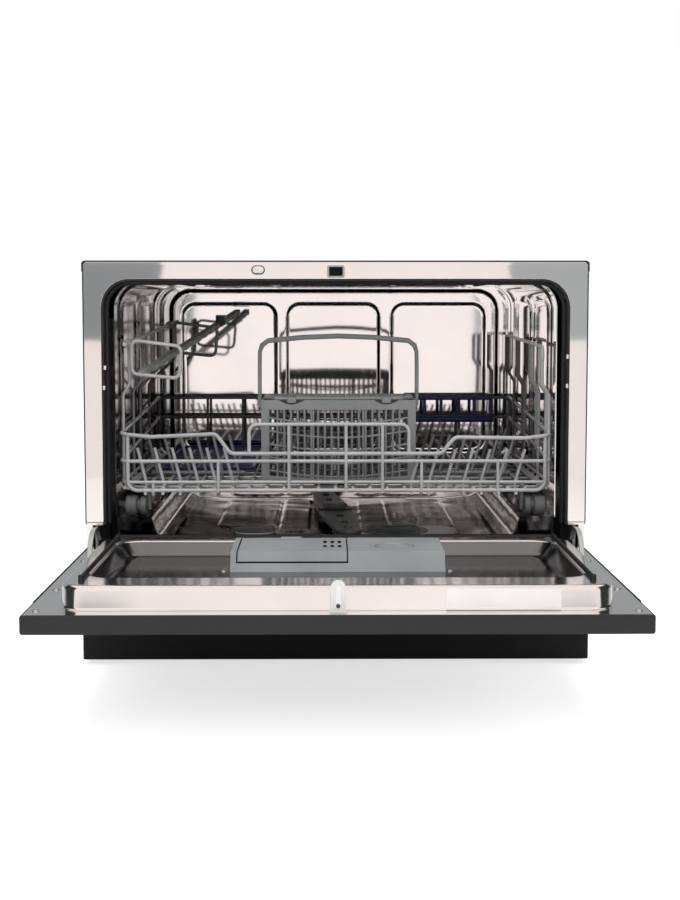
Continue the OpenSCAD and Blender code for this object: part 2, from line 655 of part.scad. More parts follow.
top_cover();
side_panel_left();
side_panel_right();
rear_panel();
base_tray();
kick_plate();
feet();
front_frame();
hinge_covers();
door_gasket();
sill_seal();
tub_ceiling();
tub_left_wall();
tub_right_wall();
tub_back_wall();
tub_floor();
sump();
filter_plate();
filter_cup();
spray_post();
spray_arm();
water_softener();
salt_cap();
wash_pump();
drain_pump();
flow_heater();
inlet_valve();
cord_gland();
water_guide();
latch_case();
door_switch_button();
hinge_plates();
door_springs();
door_outer_panel();
control_panel();
power_button();
program_button();
start_button();
door_liner();
side_seals();
dispenser_body();
detergent_lid();
rinse_cap();
latch_hook();
hinge_straps();
door_screws();
rack_floor();
rack_front();
rack_rear();
rack_sides();
rack_tines();
front_wheels();
rear_wheels();
wheel_brackets();
cutlery_basket();
basket_lid();
basket_handle();
cup_shelf();
right_shelf();
left_tray();
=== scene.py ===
import bpy, bmesh, math
from mathutils import Vector, Matrix


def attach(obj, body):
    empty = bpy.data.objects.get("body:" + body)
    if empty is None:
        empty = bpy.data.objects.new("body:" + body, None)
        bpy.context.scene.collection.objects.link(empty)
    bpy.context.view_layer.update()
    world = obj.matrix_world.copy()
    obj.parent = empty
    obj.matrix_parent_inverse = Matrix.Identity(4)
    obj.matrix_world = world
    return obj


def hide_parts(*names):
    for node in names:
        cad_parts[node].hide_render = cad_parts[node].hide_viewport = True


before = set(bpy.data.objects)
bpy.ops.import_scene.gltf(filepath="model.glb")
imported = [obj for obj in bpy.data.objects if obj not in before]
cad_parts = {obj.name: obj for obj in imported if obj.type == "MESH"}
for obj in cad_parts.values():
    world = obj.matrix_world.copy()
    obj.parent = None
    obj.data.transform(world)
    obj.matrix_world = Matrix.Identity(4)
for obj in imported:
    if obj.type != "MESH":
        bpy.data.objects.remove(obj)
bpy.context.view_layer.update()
scene = bpy.context.scene
scene.view_settings.view_transform = "Standard"
print("frame loaded", len(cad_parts), "nodes")

# everything below is drawn in millimetres, with y counted from the front frame
frontShift = -64.0
hinge = {"y": -19.4, "z": 110.4}


def point(x, y, z):
    return Vector((x / 1000, (y + frontShift) / 1000, z / 1000))


def newObject(name, data):
    obj = bpy.data.objects.new(name, data)
    scene.collection.objects.link(obj)
    return obj


# camera: low in front of the open door, level with the tub
camera = {"place": (-8.5, -1590.0, 388.4), "down": 4.63, "right": 0.47, "lens": 58.52, "shiftY": -0.0278}
camData = bpy.data.cameras.new("frontCamera")
camData.sensor_width = 36.0
camData.lens = camera["lens"]
camData.shift_y = camera["shiftY"]
camData.clip_start = 0.05
scene.camera = newObject("frontCamera", camData)
scene.camera.location = point(*camera["place"])
scene.camera.rotation_euler = (math.radians(90 - camera["down"]), 0, math.radians(-camera["right"]))


# outlines
def arc(cx, cy, r, start, sweep, n):
    angles = [math.radians(start + sweep * i / n) for i in range(n + 1)]
    return [(cx + r * math.cos(a), cy + r * math.sin(a)) for a in angles]


def ringPoints(x0, x1, y0, y1, r, n=8):
    corners = ((x1 - r, y1 - r), (x0 + r, y1 - r), (x0 + r, y0 + r), (x1 - r, y0 + r))
    return [p for k, (cx, cy) in enumerate(corners) for p in arc(cx, cy, r, 90 * k, 90, n)]


def ovalRing(cx, cy, r, flat, n=14):
    return arc(cx + flat, cy, r, -90, 180, n) + arc(cx - flat, cy, r, 90, 180, n)


def circleRing(cx, cy, r, n=32):
    return arc(cx, cy, r, 0, 360, n)[:-1]


def onAxis(axis, u, v, w):
    return {"x": (w, u, v), "y": (u, w, v), "z": (u, v, w)}[axis]


def step(d, width):
    t = min(1.0, max(0.0, 0.5 + d / width))
    return t * t * (3 - 2 * t)


def roundDist(u, v, u0, u1, v0, v1, r):
    # how far a place lies inside a rounded rectangle
    cx, cy = (u0 + u1) / 2, (v0 + v1) / 2
    qx, qy = abs(u - cx) - (u1 - u0) / 2 + r, abs(v - cy) - (v1 - v0) / 2 + r
    return r - math.hypot(max(qx, 0), max(qy, 0)) - min(max(qx, qy), 0)


# meshes
def shade(obj, angle):
    me = obj.data
    me.polygons.foreach_set("use_smooth", [True] * len(me.polygons))
    bm = bmesh.new()
    bm.from_mesh(me)
    limit = math.radians(angle)
    for e in bm.edges:
        e.smooth = len(e.link_faces) == 2 and e.calc_face_angle(0.0) < limit
    bm.to_mesh(me)
    bm.free()


def dressed(name, me, materials, smooth):
    for m in materials:
        me.materials.append(m)
    obj = newObject(name, me)
    shade(obj, smooth)
    return obj


def meshObject(name, verts, faces, materials, smooth=40):
    me = bpy.data.meshes.new(name)
    me.from_pydata([tuple(v) for v in verts], [], faces)
    me.validate()
    return dressed(name, me, materials, smooth)


def fromBmesh(name, bm, materials, smooth=40):
    bmesh.ops.recalc_face_normals(bm, faces=bm.faces)
    me = bpy.data.meshes.new(name)
    bm.to_mesh(me)
    bm.free()
    return dressed(name, me, materials, smooth)


def solid(name, material, smooth, *shapes):
    # each shape is a function and what it takes
    bm = bmesh.new()
    for make, *values in shapes:
        make(bm, *values)
    return fromBmesh(name, bm, [material], smooth)


def soften(bm, faces, bevel, segments):
    if bevel:
        edges = list({e for f in faces for e in f.edges})
        bmesh.ops.bevel(bm, geom=edges, offset=bevel / 1000, segments=segments, profile=0.5, affect="EDGES",
                        clamp_overlap=True)


def loft(bm, rows, ends=True, loop=False):
    made = []
    for a, b in zip(rows, rows[1:] + (rows[:1] if loop else [])):
        for k in range(len(a)):
            j = (k + 1) % len(a)
            made.append(bm.faces.new((a[k], a[j], b[j], b[k])))
    if ends and not loop:
        made += [bm.faces.new(rows[0][::-1]), bm.faces.new(rows[-1])]
    return made


def gridFaces(nu, nv, flip=False):
    row = nv + 1
    corners = (0, row, row + 1, 1) if flip else (0, 1, row + 1, row)
    return [tuple(i * row + j + c for c in corners) for i in range(nu) for j in range(nv)]


def addBox(bm, lo, hi, bevel=0.0, segments=2):
    made = bmesh.ops.create_cube(bm, size=1.0)["verts"]
    low, high = point(*lo), point(*hi)
    for v in made:
        v.co = Vector([low[k] + (v.co[k] + 0.5) * (high[k] - low[k]) for k in range(3)])
    soften(bm, {f for v in made for f in v.link_faces}, bevel, segments)


def addPair(bm, lo, hi, *edge):
    # the same box at the left and at the right
    for side in (-1, 1):
        a, b = sorted((side * lo[0], side * hi[0]))
        addBox(bm, (a, *lo[1:]), (b, *hi[1:]), *edge)


def addPrism(bm, outline, lo, hi, bevel=0.0, segments=2, axis="x"):
    rows = [[bm.verts.new(point(*onAxis(axis, u, v, w))) for u, v in outline] for w in (lo, hi)]
    faces = loft(bm, rows)
    bmesh.ops.recalc_face_normals(bm, faces=faces)
    soften(bm, faces, bevel, segments)


def addLathe(bm, profile, centre, axis="z", steps=32):
    rows = []
    for r, h in profile:
        offsets = [onAxis(axis, u, v, h) for u, v in circleRing(0, 0, r, steps)]
        rows.append([bm.verts.new(point(*[c + o for c, o in zip(centre, off)])) for off in offsets])
    bmesh.ops.recalc_face_normals(bm, faces=loft(bm, rows))


def bake(obj, kind, **settings):
    # the modifier's result becomes a plain mesh
    mod = obj.modifiers.new("made", kind)
    inputs = settings.pop("inputs", {})
    for label, value in settings.items():
        setattr(mod, label, value)
    for item in (mod.node_group.interface.items_tree if inputs else ()):
        if item.item_type == "SOCKET" and item.in_out == "INPUT" and item.name in inputs:
            mod[item.identifier] = inputs[item.name]
    bpy.context.view_layer.update()
    out = bpy.data.meshes.new_from_object(obj.evaluated_get(bpy.context.evaluated_depsgraph_get()))
    obj.modifiers.remove(mod)
    obj.data = out
    return obj


def thick(obj, size, offset):
    bake(obj, "SOLIDIFY", thickness=size / 1000, offset=offset)


def subtract(obj, cut):
    bake(obj, "BOOLEAN", object=cut, operation="DIFFERENCE", solver="EXACT", material_mode="TRANSFER")
    bpy.data.objects.remove(cut)
    return obj


def joinParts(name, parts, smooth=None):
    if len(parts) == 1:
        parts[0].name = parts[0].data.name = name
        return parts[0]
    bm, mats = bmesh.new(), []
    for p in parts:
        mats += [m for m in p.data.materials if m not in mats]
        at = [mats.index(m) for m in p.data.materials]
        start = len(bm.faces)
        bm.from_mesh(p.data)
        bm.faces.ensure_lookup_table()
        for f in bm.faces[start:]:
            f.material_index = at[f.material_index]
        bpy.data.objects.remove(p)
    me = bpy.data.meshes.new(name)
    bm.to_mesh(me)
    bm.free()
    for m in mats:
        me.materials.append(m)
    obj = newObject(name, me)
    if smooth:
        shade(obj, smooth)
    return obj


def stand(obj, body, slotName, *nodes):
    # large flat faces keep their own normal next to the small rounded edges
    bake(obj, "WEIGHTED_NORMAL", keep_sharp=True, weight=100)
    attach(obj, body)
    if nodes:
        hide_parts(*nodes)


# materials
def addNode(tree, kind, values=None, links=None):
    made = tree.nodes.new(kind)
    for label, value in (values or {}).items():
        made.inputs[label].default_value = value
    for label, source in (links or {}).items():
        tree.links.new(source, made.inputs[label])
    return made


def nodeTree(name, values):
    mat = bpy.data.materials.new(name)
    mat.use_nodes = True
    tree = mat.node_tree
    bsdf = next(n for n in tree.nodes if n.type == "BSDF_PRINCIPLED")
    for label, value in values.items():
        bsdf.inputs[label].default_value = value
    return mat, tree, bsdf


def coords(tree, scale=(1, 1, 1)):
    place = addNode(tree, "ShaderNodeTexCoord").outputs["Object"]
    return addNode(tree, "ShaderNodeMapping", {"Scale": scale}, {"Vector": place}).outputs["Vector"]


def noise(tree, vec, scale, detail):
    values = {"Scale": scale, "Detail": detail, "Roughness": 0.5}
    return addNode(tree, "ShaderNodeTexNoise", values, {"Vector": vec}).outputs["Fac"]


def ramp(tree, fac, *stops):
    made = addNode(tree, "ShaderNodeValToRGB", links={"Fac": fac})
    for e, (place, color) in zip(made.color_ramp.elements, stops):
        e.position = place
        e.color = (*color, 1)
    return made.outputs["Color"]


def remap(tree, fac, lo, hi):
    return addNode(tree, "ShaderNodeMapRange", {"To Min": lo, "To Max": hi}, {"Value": fac}).outputs["Result"]


def bump(tree, bsdf, height, strength, distance):
    made = addNode(tree, "ShaderNodeBump", {"Strength": strength, "Distance": distance}, {"Height": height})
    tree.links.new(made.outputs["Normal"], bsdf.inputs["Normal"])


def steel(name, color, rough, wave=0.0, waveScale=9.0, streak=0.0):
    mat, tree, bsdf = nodeTree(name, {"Metallic": 1.0})
    vec = coords(tree)
    low = tuple(c * 0.94 for c in color)
    tree.links.new(ramp(tree, noise(tree, vec, 14.0, 4.0), (0.3, low), (0.7, color)), bsdf.inputs["Base Color"])
    fine = noise(tree, coords(tree, (2, 260, 260)), 3.0, 2.0)
    tree.links.new(remap(tree, fine, rough * 0.75, rough * 1.3), bsdf.inputs["Roughness"])
    if wave:
        bump(tree, bsdf, noise(tree, vec, waveScale, 1.0), wave, 0.004)
    elif streak:
        bump(tree, bsdf, fine, streak, 0.0002)
    return mat


def plastic(name, color, rough, grain=0.12, grainScale=900.0, variation=0.12, coat=0.0):
    mat, tree, bsdf = nodeTree(name, {"Specular IOR Level": 0.5})
    vec = coords(tree)
    low, high = (tuple(min(1.0, c * gain) for c in color) for gain in (1 - variation, 1 + variation))
    tree.links.new(ramp(tree, noise(tree, vec, 22.0, 3.0), (0.3, low), (0.7, high)), bsdf.inputs["Base Color"])
    fine = noise(tree, vec, grainScale, 2.0)
    tree.links.new(remap(tree, fine, rough * 0.85, min(1.0, rough * 1.15)), bsdf.inputs["Roughness"])
    if coat:
        bsdf.inputs["Coat Weight"].default_value = coat
        bsdf.inputs["Coat Roughness"].default_value = 0.12
    if grain:
        bump(tree, bsdf, fine, grain, 0.0004)
    return mat


def paintShadeTowardsBack(mat, front, rear, low):
    # painted shade: the colour darkens towards the back, away from the mouth, where less light reaches in
    tree = mat.node_tree
    base = next(n for n in tree.nodes if n.type == "BSDF_PRINCIPLED").inputs["Base Color"]
    place = addNode(tree, "ShaderNodeTexCoord").outputs["Object"]
    depth = addNode(tree, "ShaderNodeSeparateXYZ", links={"Vector": place}).outputs["Y"]
    reach = {"From Min": front, "From Max": rear, "To Min": 1.0, "To Max": low}
    fall = addNode(tree, "ShaderNodeMapRange", reach, {"Value": depth})
    tone = tree.nodes.new("ShaderNodeVectorMath")
    tone.operation = "SCALE"
    tree.links.new(base.links[0].from_socket, tone.inputs[0])
    tree.links.new(fall.outputs["Result"], tone.inputs["Scale"])
    tree.links.new(tone.outputs["Vector"], base)


def darkReflectionSteel(name, low, high, rough):
    # rolled steel with a painted reflection of a dark room: near-black, with pale upright streaks of painted highlight
    mat, tree, bsdf = nodeTree(name, {"Metallic": 1.0})
    streaks = noise(tree, coords(tree, (30, 30, 5)), 1.0, 3.0)
    tree.links.new(ramp(tree, streaks, (0.52, low), (0.66, high)), bsdf.inputs["Base Color"])
    tree.links.new(remap(tree, streaks, rough * 0.7, rough * 1.4), bsdf.inputs["Roughness"])
    bump(tree, bsdf, noise(tree, coords(tree), 14.0, 1.0), 0.12, 0.004)
    return mat


polishedSteel = steel("polishedSteel", (0.88, 0.85, 0.84), 0.05, wave=0.02, waveScale=6.0)
frameSteel = steel("frameSteel", (0.90, 0.86, 0.845), 0.04, wave=0.002, waveScale=3.0)
# the door pan's steel is painted dark: a painted dark reflection
paintedDarkPanSteel = steel("paintedDarkPanSteel", (0.20, 0.20, 0.205), 0.13, wave=0.05)
tubSteel = steel("tubSteel", (0.95, 0.925, 0.915), 0.045, wave=0.05)
# the tub floor's steel is painted dark: painted shade and dark reflection from under the rack
paintedDarkFloorSteel = steel("paintedDarkFloorSteel", (0.20, 0.192, 0.185), 0.10, wave=0.26, waveScale=16.0)
linerSteel = steel("linerSteel", (0.93, 0.905, 0.885), 0.12, wave=0.05)
brushedSteel = steel("brushedSteel", (0.62, 0.62, 0.62), 0.3, streak=0.3)
zincSteel = steel("zincSteel", (0.60, 0.66, 0.62), 0.34, streak=0.2)
galvanised = steel("galvanised", (0.55, 0.56, 0.57), 0.42, streak=0.25)
darkSteel = steel("darkSteel", (0.16, 0.16, 0.165), 0.4, streak=0.2)
meshSteel = steel("meshSteel", (0.5, 0.5, 0.49), 0.35, streak=0.4)
# painted dark reflection with painted highlight streaks, used on the tub's left wall and the floor's ledges
paintedDarkWallSteel = darkReflectionSteel("paintedDarkWallSteel", (0.012, 0.012, 0.013), (0.24, 0.235, 0.235), 0.09)
casingPaint = plastic("casingPaint", (0.030, 0.030, 0.032), 0.42, grain=0.18, grainScale=700)
doorPaint = plastic("doorPaint", (0.0075, 0.0075, 0.0078), 0.42, grain=0.10, grainScale=800)
kickPlastic = plastic("kickPlastic", (0.001, 0.001, 0.001), 0.7, grain=0.15)
darkPlastic = plastic("darkPlastic", (0.030, 0.031, 0.033), 0.38)
blackRubber = plastic("blackRubber", (0.010, 0.010, 0.011), 0.55, grain=0.3, grainScale=500)
greyPlastic = plastic("greyPlastic", (0.255, 0.27, 0.275), 0.42)
lidPlastic = plastic("lidPlastic", (0.26, 0.27, 0.275), 0.40)
capPlastic = plastic("capPlastic", (0.23, 0.245, 0.25), 0.42)
basketPlastic = plastic("basketPlastic", (0.215, 0.225, 0.222), 0.45)
wirePlastic = plastic("wirePlastic", (0.46, 0.465, 0.465), 0.30, grain=0.06)
# painted shade on the rack wires: darker deeper in the tub
paintShadeTowardsBack(wirePlastic, 0.0, 0.2, 0.30)
shelfPlastic = plastic("shelfPlastic", (0.30, 0.31, 0.305), 0.42)
wheelPlastic = plastic("wheelPlastic", (0.09, 0.094, 0.095), 0.4)
navyPlastic = plastic("navyPlastic", (0.018, 0.022, 0.13), 0.4)
whitePlastic = plastic("whitePlastic", (0.70, 0.70, 0.68), 0.42)
greenPlastic = plastic("greenPlastic", (0.055, 0.07, 0.064), 0.42)
keyPlastic = plastic("keyPlastic", (0.30, 0.31, 0.32), 0.25, grain=0.04)
saltPlastic = plastic("saltPlastic", (0.10, 0.10, 0.098), 0.42)
hookPlastic = plastic("hookPlastic", (0.80, 0.80, 0.78), 0.35)
labelFoil = plastic("labelFoil", (0.90, 0.88, 0.865), 0.35, grain=0.05, variation=0.04)
windowPlastic = plastic("windowPlastic", (0.006, 0.006, 0.007), 0.12, grain=0.0, coat=0.6)


# wires: one tree turns drawn lines into rounded bars
def startTree(name, inputs):
    tree = bpy.data.node_groups.new(name, "GeometryNodeTree")
    for label, kind in [("Geometry", "Geometry")] + inputs + [("Finish", "Material")]:
        tree.interface.new_socket(label, in_out="INPUT", socket_type="NodeSocket" + kind)
    tree.interface.new_socket("Geometry", in_out="OUTPUT", socket_type="NodeSocketGeometry")
    return tree, tree.nodes.new("NodeGroupInput").outputs


def endTree(tree, given, shape):
    real = addNode(tree, "GeometryNodeRealizeInstances", links={"Geometry": shape})
    links = {"Geometry": real.outputs["Geometry"], "Material": given["Finish"]}
    finish = addNode(tree, "GeometryNodeSetMaterial", links=links)
    addNode(tree, "NodeGroupOutput", links={"Geometry": finish.outputs["Geometry"]})
    return tree


def buildWireTree():
    tree, given = startTree("wireTree", [("Bar radius", "Float"), ("Bend radius", "Float"), ("Sides", "Int")])
    curve = addNode(tree, "GeometryNodeMeshToCurve", links={"Mesh": given["Geometry"]})
    fillet = tree.nodes.new("GeometryNodeFilletCurve")
    if hasattr(fillet, "mode"):
        fillet.mode = "POLY"
    fillet.inputs["Count"].default_value = 4
    fillet.inputs["Limit Radius"].default_value = True
    tree.links.new(curve.outputs["Curve"], fillet.inputs["Curve"])
    tree.links.new(given["Bend radius"], fillet.inputs["Radius"])
    links = {"Radius": given["Bar radius"], "Resolution": given["Sides"]}
    circle = addNode(tree, "GeometryNodeCurvePrimitiveCircle", links=links)
    links = {"Curve": fillet.outputs["Curve"], "Profile Curve": circle.outputs["Curve"]}
    tube = addNode(tree, "GeometryNodeCurveToMesh", {"Fill Caps": True}, links)
    smooth = addNode(tree, "GeometryNodeSetShadeSmooth", links={"Geometry": tube.outputs["Mesh"]})
    return endTree(tree, given, smooth.outputs["Geometry"])


wireTree = buildWireTree()


def wires(name, runs, material, bend=6.0, sides=8):
    # a run is its points, its radius and whether it closes
    parts = []
    for radius in sorted({run[1] for run in runs}):
        verts, edges = [], []
        for pts, _, *loop in [run for run in runs if run[1] == radius]:
            base = len(verts)
            verts += [tuple(point(*p)) for p in pts]
            edges += [(base + i, base + i + 1) for i in range(len(pts) - 1)]
            if loop:
                edges.append((base + len(pts) - 1, base))
        me = bpy.data.meshes.new(name)
        me.from_pydata(verts, edges, [])
        inputs = {"Bar radius": radius / 1000, "Bend radius": bend / 1000, "Sides": sides, "Finish": material}
        parts.append(bake(newObject(name, me), "NODES", node_group=wireTree, inputs=inputs))
    return joinParts(name, parts)


# tub shell: side walls, ceiling and rounded corners in one swept sheet with pressed panels
tub = {"halfWidth": 243.0, "top": 416.0, "corner": 30.0, "front": 23.0, "back": 420.0, "low": 154.6, "bead": 2.0,
       "beadWidth": 4.0, "cells": (300, 150), "ceilingBead": (-190, 190, 70, 380, 30), "darkFrom": 22,
       "sideBeads": ((52, 386, 186, 424, 34), (78, 196, 214, 398, 24), (222, 358, 214, 398, 24))}


def beadHeight(d, depth):
    width = tub["beadWidth"]
    return depth * (step(d, width) * step(-(d - width * 1.6), width))


def tubShell():
    w, top, r = tub["halfWidth"], tub["top"], tub["corner"]
    straight, curve, flat = top - r - tub["low"], math.pi * r / 2, 2 * (w - r)
    total = 2 * straight + 2 * curve + flat

    def at(s):
        # the place on the section and the way that faces into the tub
        if s > total / 2:
            (x, z), (nx, nz) = at(total - s)
            return (-x, z), (-nx, nz)
        if s < straight:
            return (w, tub["low"] + s), (-1, 0)
        if s < straight + curve:
            a = (s - straight) / r
            return (w - r + r * math.cos(a), top - r + r * math.sin(a)), (-math.cos(a), -math.sin(a))
        return (w - r - (s - straight - curve), top), (0, -1)

    ns, ny = tub["cells"]
    verts = []
    for i in range(ns + 1):
        s = total * i / ns
        (x, z), (nx, nz) = at(s)
        side = s if s < total / 2 else total - s
        for j in range(ny + 1):
            y = tub["front"] + (tub["back"] - tub["front"]) * j / ny
            if side < straight + curve:
                spread = [roundDist(y, tub["low"] + side, *panel) for panel in tub["sideBeads"]]
                h = sum(beadHeight(d, tub["bead"]) for d in spread)
            else:
                h = 0.7 * beadHeight(roundDist(x, y, *tub["ceilingBead"]), tub["bead"])
            verts.append(point(x + nx * h, y, z + nz * h))
    obj = meshObject("tubShell", verts, gridFaces(ns, ny), [tubSteel, paintedDarkWallSteel], 60)
    # the left wall takes the steel with a painted dark reflection and painted highlight streaks
    for p in obj.data.polygons:
        if p.center.x < -(w - tub["darkFrom"]) / 1000:
            p.material_index = 1
    thick(obj, 1.0, 1)
    stand(obj, "cabinet", "polished_steel", "tub_left_wall", "tub_right_wall", "tub_ceiling")


backWall = {"cells": (330, 200), "low": 123, "round": 31, "field": (-223, 223, 170, 409.6, 27), "fieldDeep": 5.0,
            "panels": ((-207, -80), (-64, 61), (79, 206)), "panelDeep": 3.4}


def tubBack():
    w, top, r, low = tub["halfWidth"] + 1.0, tub["top"] + 1.0, backWall["round"], backWall["low"]
    nx, nz = backWall["cells"]
    verts = []
    for i in range(nx + 1):
        for j in range(nz + 1):
            x, z = -w + 2 * w * i / nx, low + (top - low) * j / nz
            if roundDist(x, z, -w, w, 60, top, r) < 0:
                # pull the corner in to the shell's round
                cx = math.copysign(w - r, x)
                a = math.atan2(z - (top - r), x - cx)
                x, z = cx + r * math.cos(a), top - r + r * math.sin(a)
            h = backWall["fieldDeep"] * step(roundDist(x, z, *backWall["field"]), 4.5)
            for x0, x1 in backWall["panels"]:
                h -= backWall["panelDeep"] * step(roundDist(x, z, x0, x1, 190, 392, 17), 4.2)
            verts.append(point(x, tub["back"] + 5.0 - h, z))
    obj = meshObject("tubBack", verts, gridFaces(nx, nz, True), [tubSteel], 60)
    stand(obj, "cabinet", "polished_steel", "tub_back_wall")


# tub floor: ledges for the wheels, sloping sides, shallow panels and holes for what sits in it
floorPan = {"ledge": 155.4, "flat": 124.0, "lip": 127.2, "lipEnd": 27.2, "cells": (260, 150), "ledgeFrom": 0.203,
            "pads": ((-141, -71, 150), (68, 143, 150), (-66, -32, 110), (31, 66, 110)),
            "side": ((0, 124), (150, 124), (186, 127.2), (196, 132), (206, 154.4), (210, 155.4), (243, 155.4)),
            "filterAt": (70, 120), "saltAt": (-95, 120), "postAt": (0, 215), "holes": (42, 22.5, 10)}


def floorHeight(x, y):
    f = floorPan
    if y < f["lipEnd"]:
        return f["lip"]
    u = abs(x)
    z = f["ledge"]
    for (x0, z0), (x1, z1) in zip(f["side"], f["side"][1:]):
        if x0 <= u <= x1:
            t = (u - x0) / (x1 - x0)
            z = z0 + (z1 - z0) * (t * t * (3 - 2 * t))
            break
    z = max(z, f["flat"] + 3.2 * step(34 - y, 12))
    return z + sum(2.0 * step(roundDist(x, y, x0, x1, y0, 404, 15), 5) for x0, x1, y0 in f["pads"])


def tubFloor():
    w = tub["halfWidth"]
    nx, ny = floorPan["cells"]
    rows = [4.0, 10.0, 16.0, 22.0, 26.8, 27.6] + [28.4 + (tub["back"] - 28.4) * j / ny for j in range(ny + 1)]
    ny = len(rows) - 1
    columns = [-w + 2 * w * i / nx for i in range(nx + 1)]
    verts = [point(x, y, floorHeight(x, y)) for x in columns for y in rows]
    spots = [floorPan[key] for key in ("filterAt", "saltAt", "postAt")]
    faces = []
    for k, face in enumerate(gridFaces(nx, ny, True)):
        x, y = -w + 2 * w * (k // ny + 0.5) / nx, (rows[k % ny] + rows[k % ny + 1]) / 2
        if all(math.hypot(x - cx, y - cy) >= r for (cx, cy), r in zip(spots, floorPan["holes"])):
            faces.append(face)
    obj = meshObject("tubFloor", verts, faces, [paintedDarkFloorSteel, paintedDarkWallSteel], 40)
    # the ledges and sloping sides take the steel with a painted dark reflection; the rest of the floor is painted dark
    # as well
    for p in obj.data.polygons:
        if abs(p.center.x) > floorPan["ledgeFrom"]:
            p.material_index = 1
    bm = bmesh.new()
    bm.from_mesh(obj.data)
    bmesh.ops.delete(bm, geom=[v for v in bm.verts if not v.link_faces], context="VERTS")
    bm.to_mesh(obj.data)
    bm.free()
    thick(obj, 1.0, -1)
    stand(obj, "cabinet", "brushed_steel", "tub_floor")


tubShell()
tubBack()
tubFloor()
print("tub made")


# door gasket: a hollow rubber bead all round the mouth; the profile is how far inside the mouth, and y
gasket = {"half": 254.3, "top": 418.0, "corner": 31.0, "foot": 150.0, "steps": 6,
          "profile": ((0.2, 1.2), (2.2, 1.2), (2.6, 10), (3.2, 14.5), (5.4, 15.6), (6.2, 17.4), (6.0, 20.4),
                      (4.6, 21.9), (1.2, 21.9), (0.2, 20))}


def doorGasket():
    half, foot, r, n = gasket["half"], gasket["foot"], gasket["corner"], gasket["steps"]
    cx, cz = half - r, gasket["top"] - r
    path = [(half, foot + (cz - foot) * i / n) for i in range(n)] + arc(cx, cz, r, 0, 90, 10)
    path += [(-x, z) for x, z in path[::-1]]
    bm = bmesh.new()
    rows = []
    for x, z in path:
        dx, dz = max(abs(x) - cx, 0), max(z - cz, 0)
        reach = math.hypot(dx, dz)
        nx, nz = -math.copysign(dx / reach, x), -dz / reach
        rows.append([bm.verts.new(point(x + nx * d, y, z + nz * d)) for d, y in gasket["profile"]])
    loft(bm, rows)
    stand(fromBmesh("doorGasket", bm, [blackRubber], 50), "cabinet", "black_rubber", "door_gasket")


doorGasket()


# door liner: flange, raised rim and shallow pan, lofted ring by ring
# each ring is its half width, y near the grip, y near the hinge, corner radius and height
liner = {"flange": 123.0, "pan": 128.0, "slopeFrom": 227.2, "cornerSteps": 8,
         "block": ((247.0, -32, 122.6), (263.5, -8, 128.8), 1.6, 3),
         "flangeEdge": ((272.6, -344.6), (272.6, 21.6), (270.2, 21.6), (270.2, -23.6), (264.3, -23.6), (264.3, 21.6)),
         "rings": ((247.6, -326.8, -46.6, 28, 123.0), (246.8, -325.8, -47.4, 27.5, 123.9),
                   (246.4, -325.2, -47.8, 27, 125.4), (245.9, -322.2, -48.3, 26.5, 139.5),
                   (245.2, -321.2, -48.9, 26, 142.2), (243.6, -319.6, -50.2, 24.6, 143.7),
                   (241.2, -317.4, -52.0, 22.6, 144.2), (229.4, -283.4, -66.8, 24, 144.2),
                   (227.9, -281.4, -69.1, 25, 143.7), (227.0, -280.4, -70.1, 24, 142.4),
                   (226.4, -280.0, -70.6, 23, 140.6), (219.0, -278.9, -72.6, 20, 131.2),
                   (217.6, -278.3, -73.2, 19, 129.4), (215.6, -276.8, -74.6, 17.5, 128.3),
                   (212.6, -274.4, -76.8, 15, 128.0))}


def doorLiner():
    bm = bmesh.new()
    rows = []
    for half, y0, y1, r, z in liner["rings"]:
        rows.append([bm.verts.new(point(x, y, z)) for x, y in ringPoints(-half, half, y0, y1, r, liner["cornerSteps"])])
    loft(bm, rows, ends=False)
    bm.faces.new(rows[-1])
    # the flange, with slots for the hinge plates and straps at its rear corners
    right = list(liner["flangeEdge"])
    rim = [bm.verts.new(point(x, y, liner["flange"])) for x, y in right + [(-x, y) for x, y in right[::-1]]]
    edges = [bm.edges.new((a, b)) for a, b in zip(rim, rim[1:] + rim[:1])]
    edges += [bm.edges.get((a, b)) for a, b in zip(rows[0], rows[0][1:] + rows[0][:1])]
    bmesh.ops.triangle_fill(bm, edges=edges, use_beauty=True, use_dissolve=False)

    def place(centre):
        return abs(centre.x) * 1000, centre.y * 1000 - frontShift, centre.z * 1000

    for f in list(bm.faces):
        x, y, z = place(f.calc_center_median())
        if abs(z - liner["flange"]) < 1e-3 and len(f.verts) == 3 and x < 240 and -320 < y < -60:
            bm.faces.remove(f)
    obj = fromBmesh("doorLiner", bm, [linerSteel, paintedDarkPanSteel], 50)
    if sum(p.normal.z for p in obj.data.polygons) < 0:
        obj.data.flip_normals()
    # the pan takes the steel painted dark with a dark reflection
    for p in obj.data.polygons:
        x, y, z = place(p.center)
        if x < liner["slopeFrom"] and -280.6 < y < -69.5 and z < 141.6:
            p.material_index = 1
    thick(obj, 0.9, -1)
    shade(obj, 50)
    stand(obj, "door", "polished_steel", "door_liner")


seals = {"strip": ((228.5, -292, 143.6), (230.9, -50.4, 148.4), 0.8), "knobAt": (229.7, -293.0),
         "knob": ((2.8, 144.0), (2.8, 147.6), (2.3, 148.7), (1.2, 149.0))}


def sideSeals():
    x, y = seals["knobAt"]
    knobs = [(addLathe, seals["knob"], (side * x, y, 0), "z", 24) for side in (-1, 1)]
    obj = solid("sideSeals", blackRubber, 40, (addPair, *seals["strip"]), *knobs)
    stand(obj, "door", "black_rubber", "side_seals")


doorLiner()
stand(solid("doorCornerBlocks", polishedSteel, 40, (addPair, *liner["block"])), "door", "polished_steel")
sideSeals()


# dispenser: body, sliding lid and rinse cap; outlines are y and height
dispenser = {"top": 145.2, "crown": 146.9, "x": (-105, 107), "lidX": (-98, 10), "recessX": (-99.3, 11.3),
             "capAt": (58.6, -124.0), "slotsX": (-11.7, -4.2, 3.0), "slotsY": ((-131.5, -119), (-107, -92))}


